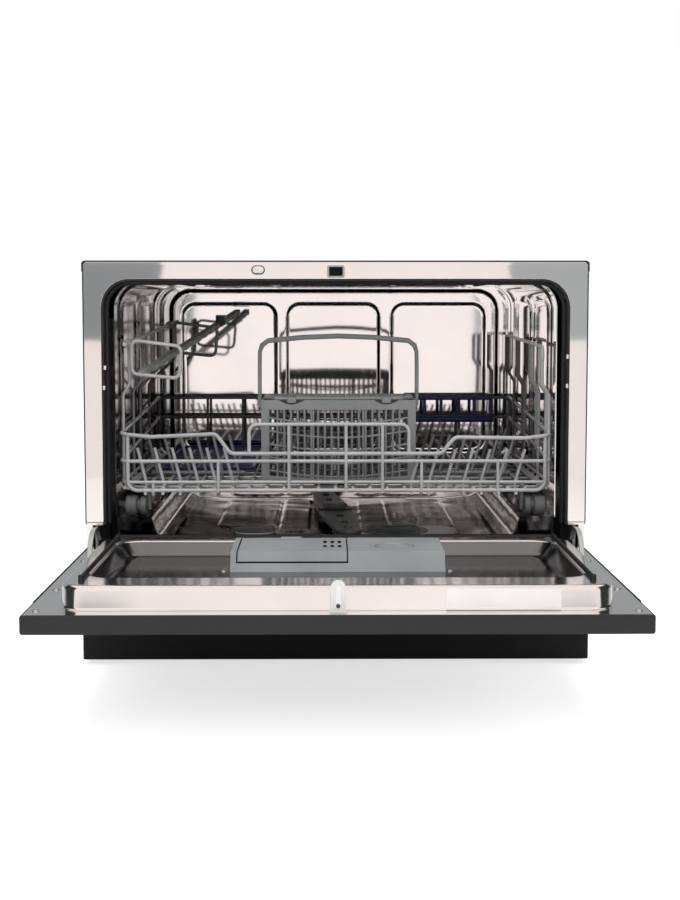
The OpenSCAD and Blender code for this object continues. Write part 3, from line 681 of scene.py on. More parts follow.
def dispenserBody():
    top, crown, low = dispenser["top"], dispenser["crown"], liner["pan"]
    outline = [(-73.1, low), (-73.1, top - 0.9), (-71, top - 0.9), (-71, crown), (-157.9, crown), (-167.5, low + 0.4),
               (-167.7, low)]
    recess = [(-50, top), (-157, top), (-160.9, 136.6), (-161.2, 136.2), (-190, 136.2), (-190, 170), (-50, 170)]
    bore = [(15.2, top - 10), (15.2, top + 0.2), (19.6, top + 0.2), (20.2, crown + 1)]
    obj = solid("dispenserBody", greyPlastic, 35, (addPrism, outline, *dispenser["x"], 1.2, 3))
    # the recess cutter is black, so the gap walls round the lid carry painted shade
    obj = subtract(obj, solid("lidRecess", kickPlastic, 40, (addPrism, recess, *dispenser["recessX"])))
    obj = subtract(obj, solid("dispenserCuts", greyPlastic, 40,
                              (addBox, (-93, -149, low + 3.2), (5, -83, top + 4), 5, 4),
                              (addLathe, bore, (*dispenser["capAt"], 0), "z", 44),
                              (addBox, (14, -126, top + 0.9), (29.5, -119.5, top + 3), 1.2)))
    shade(obj, 35)
    stand(obj, "door", "grey_plastic", "dispenser_body")


def detergentLid():
    top, crown = dispenser["top"], dispenser["crown"]
    outline = [(-72.4, top + 0.2), (-72.4, crown), (-157.8, crown), (-162.7, 137.6), (-161.2, 137.7),
               (-157.3, top + 0.2)]
    obj = solid("detergentLid", lidPlastic, 35, (addPrism, outline, *dispenser["lidX"], 0.5, 2),
                (addBox, (-58, -84, top + 1.0), (-36, -73.5, crown + 1.7), 1.1))
    slots = [(addBox, (x - 1.9, y0, top - 2), (x + 1.9, y1, top + 6), 0.5, 1)
             for x in dispenser["slotsX"] for y0, y1 in dispenser["slotsY"]]
    # black cutter: the slot walls carry painted shade
    obj = subtract(obj, solid("lidCuts", kickPlastic, 40, *slots))
    # a black sheet under the slots: painted shade where the detergent cup shows through
    under = solid("ventBack", kickPlastic, 40, (addBox, (-15.4, -134.5, top + 0.25), (7.2, -89, top + 0.7)))
    stand(joinParts("detergentLid", [obj, under], 35), "detergent_lid", "grey_plastic", "detergent_lid")


def rinseCap():
    (x, y), z = dispenser["capAt"], dispenser["top"]
    profile = [(14.6, -9.6), (14.9, -9), (14.9, 0.4), (18.4, 0.5), (18.9, 1.1), (18.5, 1.7), (17.2, 1.9), (16.4, 0.9),
               (4, 0.5)]
    obj = solid("rinseCap", capPlastic, 35, (addLathe, profile, (x, y, z), "z", 48))
    tick = solid("capTick", greyPlastic, 35, (addBox, (x - 0.9, y - 16, z + 0.3), (x + 0.9, y + 16, z + 1.5), 0.3, 1),
                 (addBox, (x - 13, y - 1.6, z + 0.3), (x + 13, y + 1.6, z + 1.2), 0.4, 1))
    stand(joinParts("rinseCap", [obj, tick], 35), "rinse_cap", "cap_plastic", "rinse_cap")


dispenserBody()
detergentLid()
rinseCap()


# latch hook: a bent plastic bow that stands on the flange
hook = {"mid": 0.2, "back": -338.6, "archHigh": 145.6}


def hookArch(rx, rz, high, n=12):
    # drawn from left to right
    return [(rx * x + hook["mid"], high + rz * z) for x, z in arc(0, 0, 1, 180, -180, n)]


def latchHook():
    bow = [(-7.8, 122.6), (-7.2, 124.4), (-6.4, 127.4)] + hookArch(6.6, 6.2, hook["archHigh"])
    bow += [(6.8, 127.4), (7.6, 124.4), (8.2, 122.6)]
    tongue = [(-337.4, 125), (-337.4, 146), (-334.6, 146), (-335.6, 142), (-333.6, 125)]
    inset = [(-2.2, 127.8)] + hookArch(2.4, 2.4, hook["archHigh"] - 1, 10) + [(2.6, 127.8)]
    parts = [solid("latchHook", hookPlastic, 35, (addPrism, bow, hook["back"], -336.8, 0.5, 2, "y"),
                   (addPrism, hookArch(6.4, 6.0, hook["archHigh"])[::-1], -338.2, -332.2, 0.8, 2, "y"),
                   (addBox, (-6, -339, 122.8), (6.4, -330.2, 125.2), 0.8),
                   *[(addPrism, tongue, x, x + 1.4, 0.2, 1) for x in (-5.4, 4.4)]),
             solid("hookMiddle", labelFoil, 35, (addPrism, inset, -339.0, -338.4, 0.2, 1, "y")),
             solid("hookScrew", darkPlastic, 35,
                   (addLathe, [(1.9, -338.2), (1.9, -339.3), (1.2, -339.6)], (hook["mid"], 0, 129.6), "y", 18))]
    stand(joinParts("latchHook", parts, 35), "door", "brushed_steel", "latch_hook")


# blank plate on the rim's front wall
plateSpot = {"x": 95.4, "wide": 100.8, "heights": (125.6, 129.6, 133.4, 137.2, 141.2), "cells": 8}


def ratingPlate():
    n, heights = plateSpot["cells"], plateSpot["heights"]
    verts = []
    for i in range(n + 1):
        for z in heights:
            verts.append(point(plateSpot["x"] + plateSpot["wide"] * i / n, -325.65 + (z - 125.4) * 3.0 / 14.1, z))
    obj = meshObject("ratingPlate", verts, gridFaces(n, len(heights) - 1, True), [labelFoil])
    if sum(p.normal.y for p in obj.data.polygons) > 0:
        obj.data.flip_normals()
    thick(obj, 0.25, -1)
    stand(obj, "door", "polished_steel")


latchHook()
ratingPlate()


# door front: painted panel, grip strip, window and keys
door = {"face": 105.8, "grip": -347.0, "keyAt": -300.0, "keys": {"power": -200, "program": 190, "start": 225}}


def controlPanel():
    face, edge = door["face"], door["grip"]
    pocket = (addBox, (-60, edge + 9, face - 2), (60, edge + 35, 119.2), 7, 5)
    holes = [(addLathe, [(7.6, face - 2), (7.6, face + 6)], (x, door["keyAt"], 0), "z", 40)
             for x in door["keys"].values()]
    obj = solid("controlPanel", doorPaint, 30, (addBox, (-275, edge, face), (275, edge + 62, 123.2), 2.6, 4))
    obj = subtract(obj, solid("panelCuts", doorPaint, 40,
                              (addBox, (-272.8, edge + 2.4, face + 2.6), (272.8, edge + 70, 130)),
                              (addBox, (95.8, edge + 40, face - 2), (160.2, edge + 54, face + 4), 2.5, 3),
                              *holes, pocket))
    # the grip pocket's own shell, open towards the user
    shell = solid("gripPocket", doorPaint, 30, (addBox, (-62, edge + 7, face + 1.2), (62, edge + 37, 121.2), 6, 4))
    shell = subtract(shell, solid("pocketCut", doorPaint, 40, pocket))
    stand(joinParts("controlPanel", [obj, shell], 30), "door", "dark_plastic", "control_panel")
    window = solid("displayWindow", windowPlastic, 35,
                   (addBox, (96.2, edge + 40.4, face + 0.3), (159.8, edge + 53.6, face + 2.0), 2.0, 3))
    stand(window, "door", "key_plastic")
    profile = [(6.0, -0.75), (6.9, -0.6), (7.45, 0), (7.5, 4.2), (8.9, 4.3), (8.9, 5.3)]
    for key, x in door["keys"].items():
        body = key + "_button"
        cap = solid(key + "Button", keyPlastic, 35, (addLathe, profile, (x, door["keyAt"], face), "z", 40))
        stand(cap, body, "key_plastic", body)


controlPanel()
print("door made")


# rack wires
rack = {"front": 28.0, "rear": 398.0, "half": 238.5, "shelfAt": (-231.0, 36.0, 348.0), "climb": 4.68, "skew": 6.4,
        "leftRow": [-211.5 + i * 19.4 for i in range(6)], "rightRow": [84.5 + i * 19.4 for i in range(7)],
        "thin": 1.8, "thick": 2.1}


def onSlope(x, y, z):
    # the cup shelf's own wire climbs and leans inwards towards the back
    turn = Matrix.Rotation(math.radians(-rack["skew"]), 3, "Z") @ Matrix.Rotation(math.radians(rack["climb"]), 3, "X")
    v = turn @ Vector((x, y, z))
    return tuple(a + b for a, b in zip(rack["shelfAt"], v))


def rackPart(name, runs, bend, node):
    stand(wires(name, runs, wirePlastic, bend), "rack", "coated_wire", node)


def rackFaces():
    f, e, w, thin, wide = rack["front"], rack["rear"], rack["half"], rack["thin"], rack["thick"]
    runs = [([(i * 19.2, f + 0.5, 187.2), (i * 19.2, e - 0.5, 187.2)], 1.7 if i % 2 else wide) for i in range(-12, 13)]
    for y in (f + 34, f + 76, f + 118, f + 160, f + 202, f + 244, f + 286, e - 30):
        runs.append(([(-w + 1, y, 191), (-w + 6, y, 184.0), (w - 6, y, 184.0), (w - 1, y, 191)], wide))
    rackPart("rackFloor", runs, 6.0, "rack_floor")
    runs = [([(-w, f + 18, 248.5), (-w, f, 247.6), (-205, f, 244.2), (-132.8, f, 247.4), (-117, f, 225.4),
              (117.8, f, 225.4), (132.4, f, 243.6), (211, f, 242.6), (w, f, 246), (w, f + 18, 247.9)], 2.3),
            ([(-96.2, f + 0.6, 225), (-96.2, f + 0.6, 258), (81.4, f + 0.6, 258), (81.4, f + 0.6, 225)], wide),
            ([(-231, f + 1.4, 246.6), (-231, f, 190), (-224, f, 184.4), (226, f, 184.4), (233, f, 190),
              (233, f + 1.4, 245.4)], 2.2),
            ([(-w, f + 18, 218), (-w, f, 217), (w, f, 217), (w, f + 18, 218)], wide),
            ([(1 - w, f + 18, 193.6), (1 - w, f + 0.6, 193.6), (w - 1, f + 0.6, 193.6), (w - 1, f + 18, 193.6)], thin)]
    runs += [([(x, f - 0.9, 181.4), (x, f - 0.9, 258)], thin) for x in (-52, 11.5, 52)]
    for x, top, low in ((-130.5, 218, 179.5), (95.5, 218, 179.5), (180.4, 218, 179.5), (-203, 192, 178)):
        runs.append(([(x, f - 0.9, top), (x, f - 0.9, low), (x, f + 8, low), (x, f + 8, 187)], thin))
    rackPart("rackFront", runs, 9.0, "rack_front")
    runs = [([(-w, e, 265), (-w, e, 194), (-w + 8, e, 184.4), (w - 8, e, 184.4), (w, e, 194), (w, e, 265)], 2.2, True),
            ([(-w, e - 0.6, 238.5), (w, e - 0.6, 238.5)], wide)]
    runs += [([(x, e - 1, 185), (x, e - 1, 264.6)], thin) for x in (-172, -124, -28, 74, 170)]
    rackPart("rackRear", runs, 7.0, "rack_rear")


def rackSides():
    f, e, w, wide = rack["front"], rack["rear"], rack["half"], rack["thick"]
    runs = []
    for side in (1, -1):
        for x, y, z, rearZ, r in ((w, f + 16, 248.2, 265, 2.2), (w - 4, f + 1, 187.6, 187.6, wide),
                                  (w - 0.4, f + 16, 218, 238.5, wide), (w - 1, f + 16, 193.6, 193.6, 1.8)):
            runs.append(([(side * x, y, z), (side * x, e, rearZ)], r))
        places = [(f + 6, w - 9, 344), (113, w - 9, 346), (233, w - 9, 348), (339, w - 9, 350)]
        if side < 0:
            tops = [(y, onSlope(0, (y - 36) * 1.01, 0)) for y in (f + 16, 128, 192, 282)]
            places = [(y, -x, z) for y, (x, _, z) in tops]
        for y, inner, high in places:
            runs.append(([(side * (w - 4), y, 185), (side * (w - 1), y, 192), (side * (w - 1), y, 290),
                          (side * inner, y, 303 + (w - 9 - inner) * 0.8), (side * inner, y, high)], 1.9))
            if side > 0 and y < 300:
                runs.append(([(w - 1, y + 20, 220), (w - 1, y + 20, 290), (inner, y + 20, 303), (inner, y + 20, high)],
                             1.9))
    runs.append(([(w - 9, f + 4, 330), (w - 9, f + 6, 344), (w - 9, 359, 350.4), (w - 9, 359, 303)], 2.2))
    runs.append(([onSlope(0, -12, 0), onSlope(0, 262, 0)], 2.3))
    rackPart("rackSides", runs, 9.0, "rack_sides")


def rackTines():
    f = rack["front"]
    left, right, runs = rack["leftRow"], rack["rightRow"], []
    for xs, y, high, lean in ((left, f + 13, 231, -10.6), (right, f + 13, 229, 12), (left, f + 118, 236, -10.6),
                              (right, f + 118, 236, 12), (right, f + 202, 236, 12)):
        runs.append(([(xs[0] - 7, y, 191.2), (xs[-1] + 7, y, 191.2)], rack["thick"]))
        foot = [(f + 6, 181.6), (f - 2.4, 181.2)] if y < 50 else []
        for x in xs:
            tine = [(x + lean * (high - 190) / 42.0, y - 0.8, high), (x, y - 0.8, 190)]
            runs.append((tine + [(x, fy, fz) for fy, fz in foot], 1.85))
    rackPart("rackTines", runs, 3.0, "rack_tines")


rackFaces()
rackSides()
rackTines()


# cup shelf: hoops on the climbing wire, a notched rest bar and a grip
cupBar = {"from": (15.3, -1.2, -34.2), "to": (74, 294, 9.7), "wide": 4.4, "notch": 2.8, "inner": -4.2, "deep": 3.0,
          "steps": 48, "eyesAt": (0, 215), "eye": ((-3, 4.6), (3, 4.6), (3, 2.5), (-3, 2.5)),
          "hoop": ((4.6, 3.4), (61, -3.6), (57.6, -39.2), (4.2, -34.4))}


def addSlopeBox(bm, middle, size):
    for v in bmesh.ops.create_cube(bm, size=1.0)["verts"]:
        v.co = point(*onSlope(*[m + c * s for m, c, s in zip(middle, v.co, size)]))


def cupShelf():
    runs = [([onSlope(x, y, z) for x, z in cupBar["hoop"]], 2.0, True) for y in cupBar["eyesAt"]]
    hoops = wires("cupShelfWires", runs, wirePlastic, 7.0)
    start, end, deep, count = Vector(cupBar["from"]), Vector(cupBar["to"]), cupBar["deep"], cupBar["steps"]
    way = (end - start).normalized()
    side = way.cross(Vector((0, 0, 1))).normalized()
    up = side.cross(way).normalized()
    bm = bmesh.new()
    rows = []
    for i in range(count + 1):
        c = start + (end - start) * i / count
        reach = cupBar["wide"] if i % 3 else cupBar["notch"]
        corners = ((reach, -deep), (reach, deep), (cupBar["inner"], deep), (cupBar["inner"], -deep))
        rows.append([bm.verts.new(point(*onSlope(*(c + side * u + up * v)))) for u, v in corners])
    loft(bm, rows)
    rest = fromBmesh("cupRestBar", bm, [shelfPlastic], 30)
    eyes = bmesh.new()
    for y in cupBar["eyesAt"]:
        loft(eyes, [[eyes.verts.new(point(*onSlope(u, y + along, v))) for u, v in circleRing(0, 0, r, 18)]
                    for along, r in cupBar["eye"]], loop=True)
    eye = fromBmesh("cupShelfEyes", eyes, [shelfPlastic], 40)
    grips = bmesh.new()
    for k in range(4):
        addSlopeBox(grips, (59 + k * 3.1, 223.5, 6), (2, 9, 11))
    addSlopeBox(grips, (64, 223.5, 3), (12, 7, 7))
    bmesh.ops.bevel(grips, geom=list(grips.edges), offset=0.0005, segments=1, affect="EDGES")
    grip = fromBmesh("cupShelfGrip", grips, [darkPlastic], 30)
    stand(joinParts("cupShelf", [hoops, rest, eye, grip], 40), "cup_shelf", "coated_wire", "cup_shelf")


cupShelf()
print("rack made")


# cutlery basket
basket = {"mid": 3.2, "half": 87.0, "y0": 46.0, "y1": 114.0, "low": 190.6, "high": 284.0, "bandFrom": 272.9,
          "post": 9.4, "peg": 276.0, "pegY": 80.0, "clips": (-49.4, 56.9), "clipHalf": 14.0, "clipDeep": 5.2,
          "sag": 9.0, "arch": 354.9, "bar": 1.3, "rail": 1.15}
basketLeft, basketRight = basket["mid"] - basket["half"], basket["mid"] + basket["half"]


def basketBars():
    b = basket
    x0, x1, y0, y1 = basketLeft + 1.4, basketRight - 1.4, b["y0"] + 1.4, b["y1"] - 1.4
    low, top = b["low"] + 3, b["peg"]
    spots = [(x0 + b["post"] + (x1 - x0 - 2 * b["post"]) * i / 20, y) for i in range(1, 20) for y in (y0, y1)]
    spots += [(x, y0 + 6 + (y1 - y0 - 12) * i / 7) for i in range(1, 7) for x in (x0, x1)]
    runs = [([(x, y, low), (x, y, top)], b["bar"]) for x, y in spots]
    for z in [206 + k * 14.8 for k in range(5)]:
        for y in (y0 + 0.3, y1 - 0.3):
            pts = [(x0 + (x1 - x0) * t / 16, y, z - b["sag"] * math.sin(math.pi * t / 16)) for t in range(17)]
            runs.append((pts, b["rail"]))
        runs += [([(x, y0, z), (x, y1, z)], b["rail"]) for x in (x0, x1)]
    return wires("basketBars", runs, basketPlastic, 1.0, 6)


def bandOutlines():
    # the faces' lower band, dished above, and the front's upper band, cut by the clips' notches
    b = basket
    wide = basketRight - basketLeft
    dish = [(basketLeft + wide * t / 12, 199.5 - 4.5 * math.sin(math.pi * t / 12)) for t in range(13)]
    notches = []
    for c in b["clips"][::-1]:
        for u in [1 - t / 4 for t in range(9)]:
            notches.append((c + b["clipHalf"] * u, b["high"] - b["clipDeep"] * (1 - u * u)))
    upper = [(basketLeft, b["bandFrom"]), (basketRight, b["bandFrom"]), (basketRight, b["high"])]
    return [(basketLeft, b["low"]), (basketRight, b["low"])] + dish[::-1], upper + notches + [(basketLeft, b["high"])]


def cutleryBasket():
    b = basket
    x0, x1, y0, y1, low, high, band = basketLeft, basketRight, b["y0"], b["y1"], b["low"], b["high"], b["bandFrom"]
    lower, upper = bandOutlines()
    shapes = [(addPrism, upper, y0, y0 + 2.4, 0.5, 2, "y"), (addBox, (x0, y1 - 2.4, band), (x1, y1, high), 0.7)]
    for y, deep in ((y0, 0.15), (y1 - 2.4, 0.05)):
        shapes.append((addPrism, lower, y, y + 2.4, 0.5, 2, "y"))
        for x in (x0 + 0.1, x1 - b["post"] - 0.1):
            shapes.append((addBox, (x, y + deep, low + 0.1), (x + b["post"], y + deep + 2.1, high - 0.1), 0.9))
    for x in (x0 + 0.2, x1 - 2.6):
        for z0, z1 in ((low + 0.2, 199), (band, high - 0.2)):
            shapes.append((addBox, (x, y0 + 0.3, z0), (x + 2.4, y1 - 0.3, z1), 0.7))
        for y in (y0 + 0.4, y1 - 8.4):
            shapes.append((addBox, (x + 0.15, y, low + 0.3), (x + 2.3, y + 8, high - 0.3), 0.9))
    shapes += [(addBox, (x, y0 + 1, low), (x + 2, y1 - 1, 278), 0.5) for x in (-26, 30)]
    for x in [x0 + 4 + i * 11.6 for i in range(15)]:
        shapes.append((addBox, (x, y0 + 1, low), (x + 2, y1 - 1, low + 2), 0.3))
    for y in [y0 + 8 + i * 12.6 for i in range(5)]:
        shapes.append((addBox, (x0 + 1, y, low), (x1 - 1, y + 2, low + 2), 0.3))
    for side, x in ((-1, x0), (1, x1)):
        profile = [(4.2, 0), (4.2, side * 0.3), (2.4, side * 0.3), (2.4, side * 3.5)]
        shapes.append((addLathe, profile, (x, b["pegY"], b["peg"]), "x", 20))
    parts = [basketBars(), solid("basketBands", basketPlastic, 35, *shapes)]
    stand(joinParts("cutleryBasket", parts, 40), "cutlery_basket", "basket_plastic", "cutlery_basket")


def basketLid():
    mid = basket["mid"]
    outline = [(-84.4, 113), (84.4, 113), (84.4, 61), (71, 47), (-71, 47), (-84.4, 61)]
    obj = solid("basketLid", basketPlastic, 35,
                (addPrism, [(mid + x, y) for x, y in outline], 284.4, 287.2, 0.6, 2, "z"))
    # pairs of slots in three rows; the front row leaves its corners whole
    spots = [(i, j) for j in range(3) for i in range(9) if j or 0 < i < 8]
    corners = [(mid - 77.4 + i * 17.5 + k * 7.9, 52 + j * 20) for i, j in spots for k in (0, 1)]
    slots = [(addBox, (x, y, 280), (x + 6.9, y + 15, 300), 1.2) for x, y in corners]
    obj = subtract(obj, solid("lidSlots", basketPlastic, 40, *slots))
    pins = [(addLathe, [(1.4, x), (1.4, x + 20)], (0, 114, 285.8), "x", 16) for x in (-50, 34.2)]
    clips = [(addBox, (x - 5, 45.4, 280.6), (x + 5, 48.6, 287), 0.8) for x in basket["clips"]]
    parts = [obj, solid("lidClips", basketPlastic, 35, *pins, *clips)]
    stand(joinParts("basketLid", parts, 35), "basket_lid", "basket_plastic", "basket_lid")


def basketHandle():
    mid, y, peg, side = basket["mid"], basket["pegY"], basket["peg"], Vector((0, 1, 0))
    half = [(89.6, peg), (89.6, 318), (89.3, 337), (86.8, 344.4), (80, 349.6), (40, 353.4), (0, basket["arch"])]
    pts = [Vector((mid - x, y, z)) for x, z in half] + [Vector((mid + x, y, z)) for x, z in half[-2::-1]]
    bm = bmesh.new()
    rows = []
    for k, p in enumerate(pts):
        out = (pts[min(len(pts) - 1, k + 1)] - pts[max(0, k - 1)]).cross(side).normalized()
        wide, tall = 3.4, (2.3 if abs(p.x - mid) > 88 else 2.9)
        row = []
        for c, s in circleRing(0, 0, 1, 12):
            v = p + side * math.copysign(abs(c) ** 0.6, c) * wide + out * math.copysign(abs(s) ** 0.6, s) * tall
            row.append(bm.verts.new(point(*v)))
        rows.append(row)
    loft(bm, rows)
    bow = fromBmesh("handleBow", bm, [basketPlastic], 50)
    bm = bmesh.new()
    for way in (-1, 1):
        loft(bm, [[bm.verts.new(point(mid + way * x, u, v)) for u, v in circleRing(y, peg, r, 24)]
                  for x, r in ((87.4, 6), (90.4, 6), (90.4, 2.6), (87.4, 2.6))], loop=True)
    eyes = fromBmesh("handleEyes", bm, [basketPlastic], 40)
    stand(joinParts("basketHandle", [bow, eyes], 45), "basket_handle", "basket_plastic", "basket_handle")


cutleryBasket()
basketLid()
basketHandle()


# folding shelves
shelf = {"x": (97.5, 214.6), "y": (386, 390), "rails": (262, 236), "railHigh": 6, "bars": 6, "barStep": 22.5,
         "barWide": 4.4, "barZ": (238, 267), "rod": ((3.2, 94), (4, 95), (4, 215), (3.2, 216)), "rodAt": (0, 388, 236)}
tray = {"x": (-211, -96.5), "y": (154, 382), "z": (193, 197), "long": 6, "longStep": 22, "longWide": 4.5, "cross": 10,
        "crossStep": 24.6, "crossWide": 5, "sink": 0.3, "studs": ((-208.8, 157), (-98.8, 157)),
        "stud": ((2.4, 194), (2.4, 197), (1.8, 197)), "rod": ((3.2, -214), (4, -213), (4, -95), (3.2, -94)),
        "rodAt": (0, 382, 197)}


def rightShelf():
    (x0, x1), (y0, y1), (low, high) = shelf["x"], shelf["y"], shelf["barZ"]
    shapes = [(addBox, (x0, y0, z), (x1, y1, z + shelf["railHigh"]), 1.4, 3) for z in shelf["rails"]]
    for x in [x0 + i * shelf["barStep"] for i in range(shelf["bars"])]:
        shapes.append((addBox, (x, y0, low), (x + shelf["barWide"], y1, high), 1.4, 3))
    obj = solid("rightShelf", navyPlastic, 35, *shapes, (addLathe, shelf["rod"], shelf["rodAt"], "x", 20))
    stand(obj, "right_shelf", "navy_plastic", "right_shelf")


def leftTray():
    (x0, x1), (y0, y1), (z0, z1), sink = tray["x"], tray["y"], tray["z"], tray["sink"]
    shapes = []
    for x in [x0 + i * tray["longStep"] for i in range(tray["long"])]:
        shapes.append((addBox, (x, y0, z0), (x + tray["longWide"], y1, z1), 1.2))
    for y in [y0 + j * tray["crossStep"] for j in range(tray["cross"])]:
        shapes.append((addBox, (x0, y, z0 + sink), (x1, y + tray["crossWide"], z1 - sink), 1.2))
    shapes += [(addLathe, tray["stud"], (x, y, 0), "z", 12) for x, y in tray["studs"]]
    obj = solid("leftTray", navyPlastic, 35, *shapes, (addLathe, tray["rod"], tray["rodAt"], "x", 20))
    stand(obj, "left_tray", "navy_plastic", "left_tray")


# wheels
wheel = {"radius": 11.5, "axle": 167.2, "at": {"front": 33, "rear": 370}}


def wheels():
    r, axle = wheel["radius"], wheel["axle"]
    rim = [(9.6, 210.6), (r - 0.8, 211.4), (r - 0.8, 216.6), (9.6, 217.6), (7.2, 217.7), (7.2, 220.6), (9.8, 220.8),
           (r, 222), (r, 232.4), (r - 1.2, 233.5), (8, 233.5), (7.6, 232.2), (5.2, 232.2), (4.8, 233.5)]
    stub = [(3, 209), (3, 233.8), (5.2, 233.9), (5.2, 235.4), (4.2, 236)]
    brackets = []
    for end, y in wheel["at"].items():
        both = [(addLathe, [(q, side * x) for q, x in rim], (0, y, axle), "x", 36) for side in (-1, 1)]
        stand(solid(end + "Wheels", wheelPlastic, 35, *both), end + "_wheels", "wheel_plastic", end + "_wheels")
        brackets.append((addPair, (205.4, y - 3.6, axle - 5), (209.8, y + 3.6, 189), 1.4))
        brackets += [(addLathe, [(q, side * x) for q, x in stub], (0, y, axle), "x", 20) for side in (-1, 1)]
    holders = solid("wheelBrackets", wheelPlastic, 35, *brackets)
    stand(holders, "rack", "wheel_plastic", "wheel_brackets")


rightShelf()
leftTray()
wheels()
print("basket, shelves and wheels made")


# sheet parts cut from outlines, with softened edges
def plate(name, outer, holes, lo, hi, material, soft=0.3, axis="y"):
    cu = bpy.data.curves.new(name, "CURVE")
    cu.dimensions = "2D"
    cu.fill_mode = "BOTH"
    cu.extrude = max(0.01, (hi - lo) / 2 - soft)
    cu.bevel_depth = soft
    cu.bevel_resolution = 2
    cu.offset = -soft
    for ring in [outer] + holes:
        area = sum(a[0] * b[1] - b[0] * a[1] for a, b in zip(ring, ring[1:] + ring[:1]))
        if (area < 0) == (ring is outer):
            ring = ring[::-1]
        spline = cu.splines.new("POLY")
        spline.points.add(len(ring) - 1)
        for p, (u, v) in zip(spline.points, ring):
            p.co = (u, v, 0, 1)
        spline.use_cyclic_u = True
    holder = newObject(name, cu)
    bpy.context.view_layer.update()
    me = bpy.data.meshes.new_from_object(holder.evaluated_get(bpy.context.evaluated_depsgraph_get()))
    bpy.data.objects.remove(holder)
    for v in me.vertices:
        v.co = point(*onAxis(axis, v.co.x, v.co.y, (lo + hi) / 2 + v.co.z))
    bm = bmesh.new()
    bm.from_mesh(me)
    bpy.data.meshes.remove(me)
    bmesh.ops.remove_doubles(bm, verts=bm.verts, dist=1e-6)
    return fromBmesh(name, bm, [material], 40)


mouth = {"half": 254.3, "top": 418.1, "round": 31, "foot": 153, "switchAt": (-84, 427.7), "switchFlat": 2.4,
         "slot": (-7.2, 7.4, 421.3, 431), "clips": ((-251, 322), (-252.2, 300), (252.4, 334), (252.2, 302))}


def frontFrame():
    half, foot, r = mouth["half"], mouth["foot"], mouth["round"]
    cx, cz = half - r, mouth["top"] - r
    outline = arc(269, 432.4, 4, 0, 90, 8) + arc(-269, 432.4, 4, 90, 90, 8) + [(-273, foot), (-half, foot)]
    outline += arc(-cx, cz, r, 180, -90, 16) + arc(cx, cz, r, 90, -90, 16) + [(half, foot), (273, foot)]
    slot, oval, flat = mouth["slot"], mouth["switchAt"], mouth["switchFlat"]
    holes = [ringPoints(*slot, 0.8, 3), ovalRing(*oval, 4, flat)]
    stand(plate("frontFrame", outline, holes, 0, 1, frameSteel, 0.35), "cabinet", "polished_steel", "front_frame")
    outer, inner = ringPoints(-9.4, 9.6, 419.4, 432.8, 2.2, 5), ringPoints(*slot, 1.0, 4)
    stand(plate("slotBezel", outer, [inner], -0.5, 0.6, shelfPlastic, 0.2), "cabinet", "grey_plastic")
    outer, inner = [ovalRing(*oval, r, flat) for r in (5.0, 3.95)]
    stand(plate("switchBezel", outer, [inner], -0.4, 0.5, darkPlastic, 0.15), "cabinet", "dark_plastic")
    clips = [(addBox, (x - 1.3, 0.6, z - 2.4), (x + 1.3, 4, z + 2.4), 0.8) for x, z in mouth["clips"]]
    stand(solid("gasketClips", whitePlastic, 35, *clips), "cabinet", "white_plastic")


hingeCover = {"tall": ((266, 0, 126), (273, 1.2, 152.6), 0.5), "low": ((254.8, 0.05, 149.6), (267, 1.15, 152.6), 0.4)}


def hingeCovers():
    pairs = [(addPair, *box) for box in hingeCover.values()]
    stand(solid("hingeCovers", polishedSteel, 40, *pairs), "cabinet", "polished_steel", "hinge_covers")


cover = {"foot": 426, "out": 271, "up": 434, "bend": (4, 2.8), "depth": 475, "sideX": (273.1, 274.3),
         "sideTop": 425.7, "pinRound": 46.0}


def casing():
    # top cover: one folded sheet with turned lips
    outer, inner = [[(cover["out"] + r, cover["foot"])] + arc(cover["out"], cover["up"], r, 0, 90, 8)
                    for r in cover["bend"]]
    ring = outer + [(-x, z) for x, z in outer[::-1]] + [(-x, z) for x, z in inner] + inner[::-1]
    lips = solid("coverLips", casingPaint, 40, (addBox, (-272.5, 0.05, 436.5), (272.5, 14, 437.9), 0.4),
                 (addBox, (-273.6, 473.7, 426.2), (273.6, 474.9, 437), 0.4),
                 (addPair, (273.2, 0.05, 426.2), (274.9, 12, 434), 0.4))
    obj = joinParts("topCover", [plate("coverSheet", ring, [], 0.0, cover["depth"], casingPaint, 0.25), lips], 40)
    stand(obj, "cabinet", "casing", "top_cover")
    # side panels: an arc round the hinge pin is cut out of the front edge
    cy, cz, r, deep, top = hinge["y"], hinge["z"], cover["pinRound"], cover["depth"], cover["sideTop"]
    half = math.degrees(math.acos(-cy / r))
    ring = [(0, top)] + arc(cy, cz, r, half, -2 * half, 12) + [(0, 8), (2, 6), (deep - 2, 6), (deep, 8), (deep, top)]
    for side, label in ((-1, "left"), (1, "right")):
        lo, hi = sorted(side * x for x in cover["sideX"])
        a, b = sorted((side * 272.8, side * 274.2))
        hem = solid("sideHem", casingPaint, 40, (addBox, (a, 0.1, 153.6), (b, 12, 425.5), 0.5))
        sheet = plate("sidePanel", ring, [], lo, hi, casingPaint, 0.3, "x")
        panel = joinParts("sidePanel" + label.capitalize(), [sheet, hem], 40)
        stand(panel, "cabinet", "casing", "side_panel_" + label)


rear = {"outer": (-273.7, 273.7, 8, 425.9), "y": (473.0, 474.2), "vents": 8, "ventStep": 14,
        "bores": ((190, 70, 12.5), (137, 50, 10), (-190, 50, 9)),
        "rails": ((-255, 160, 96, 106), (-255, 255, 190, 200), (-255, 255, 384, 394))}


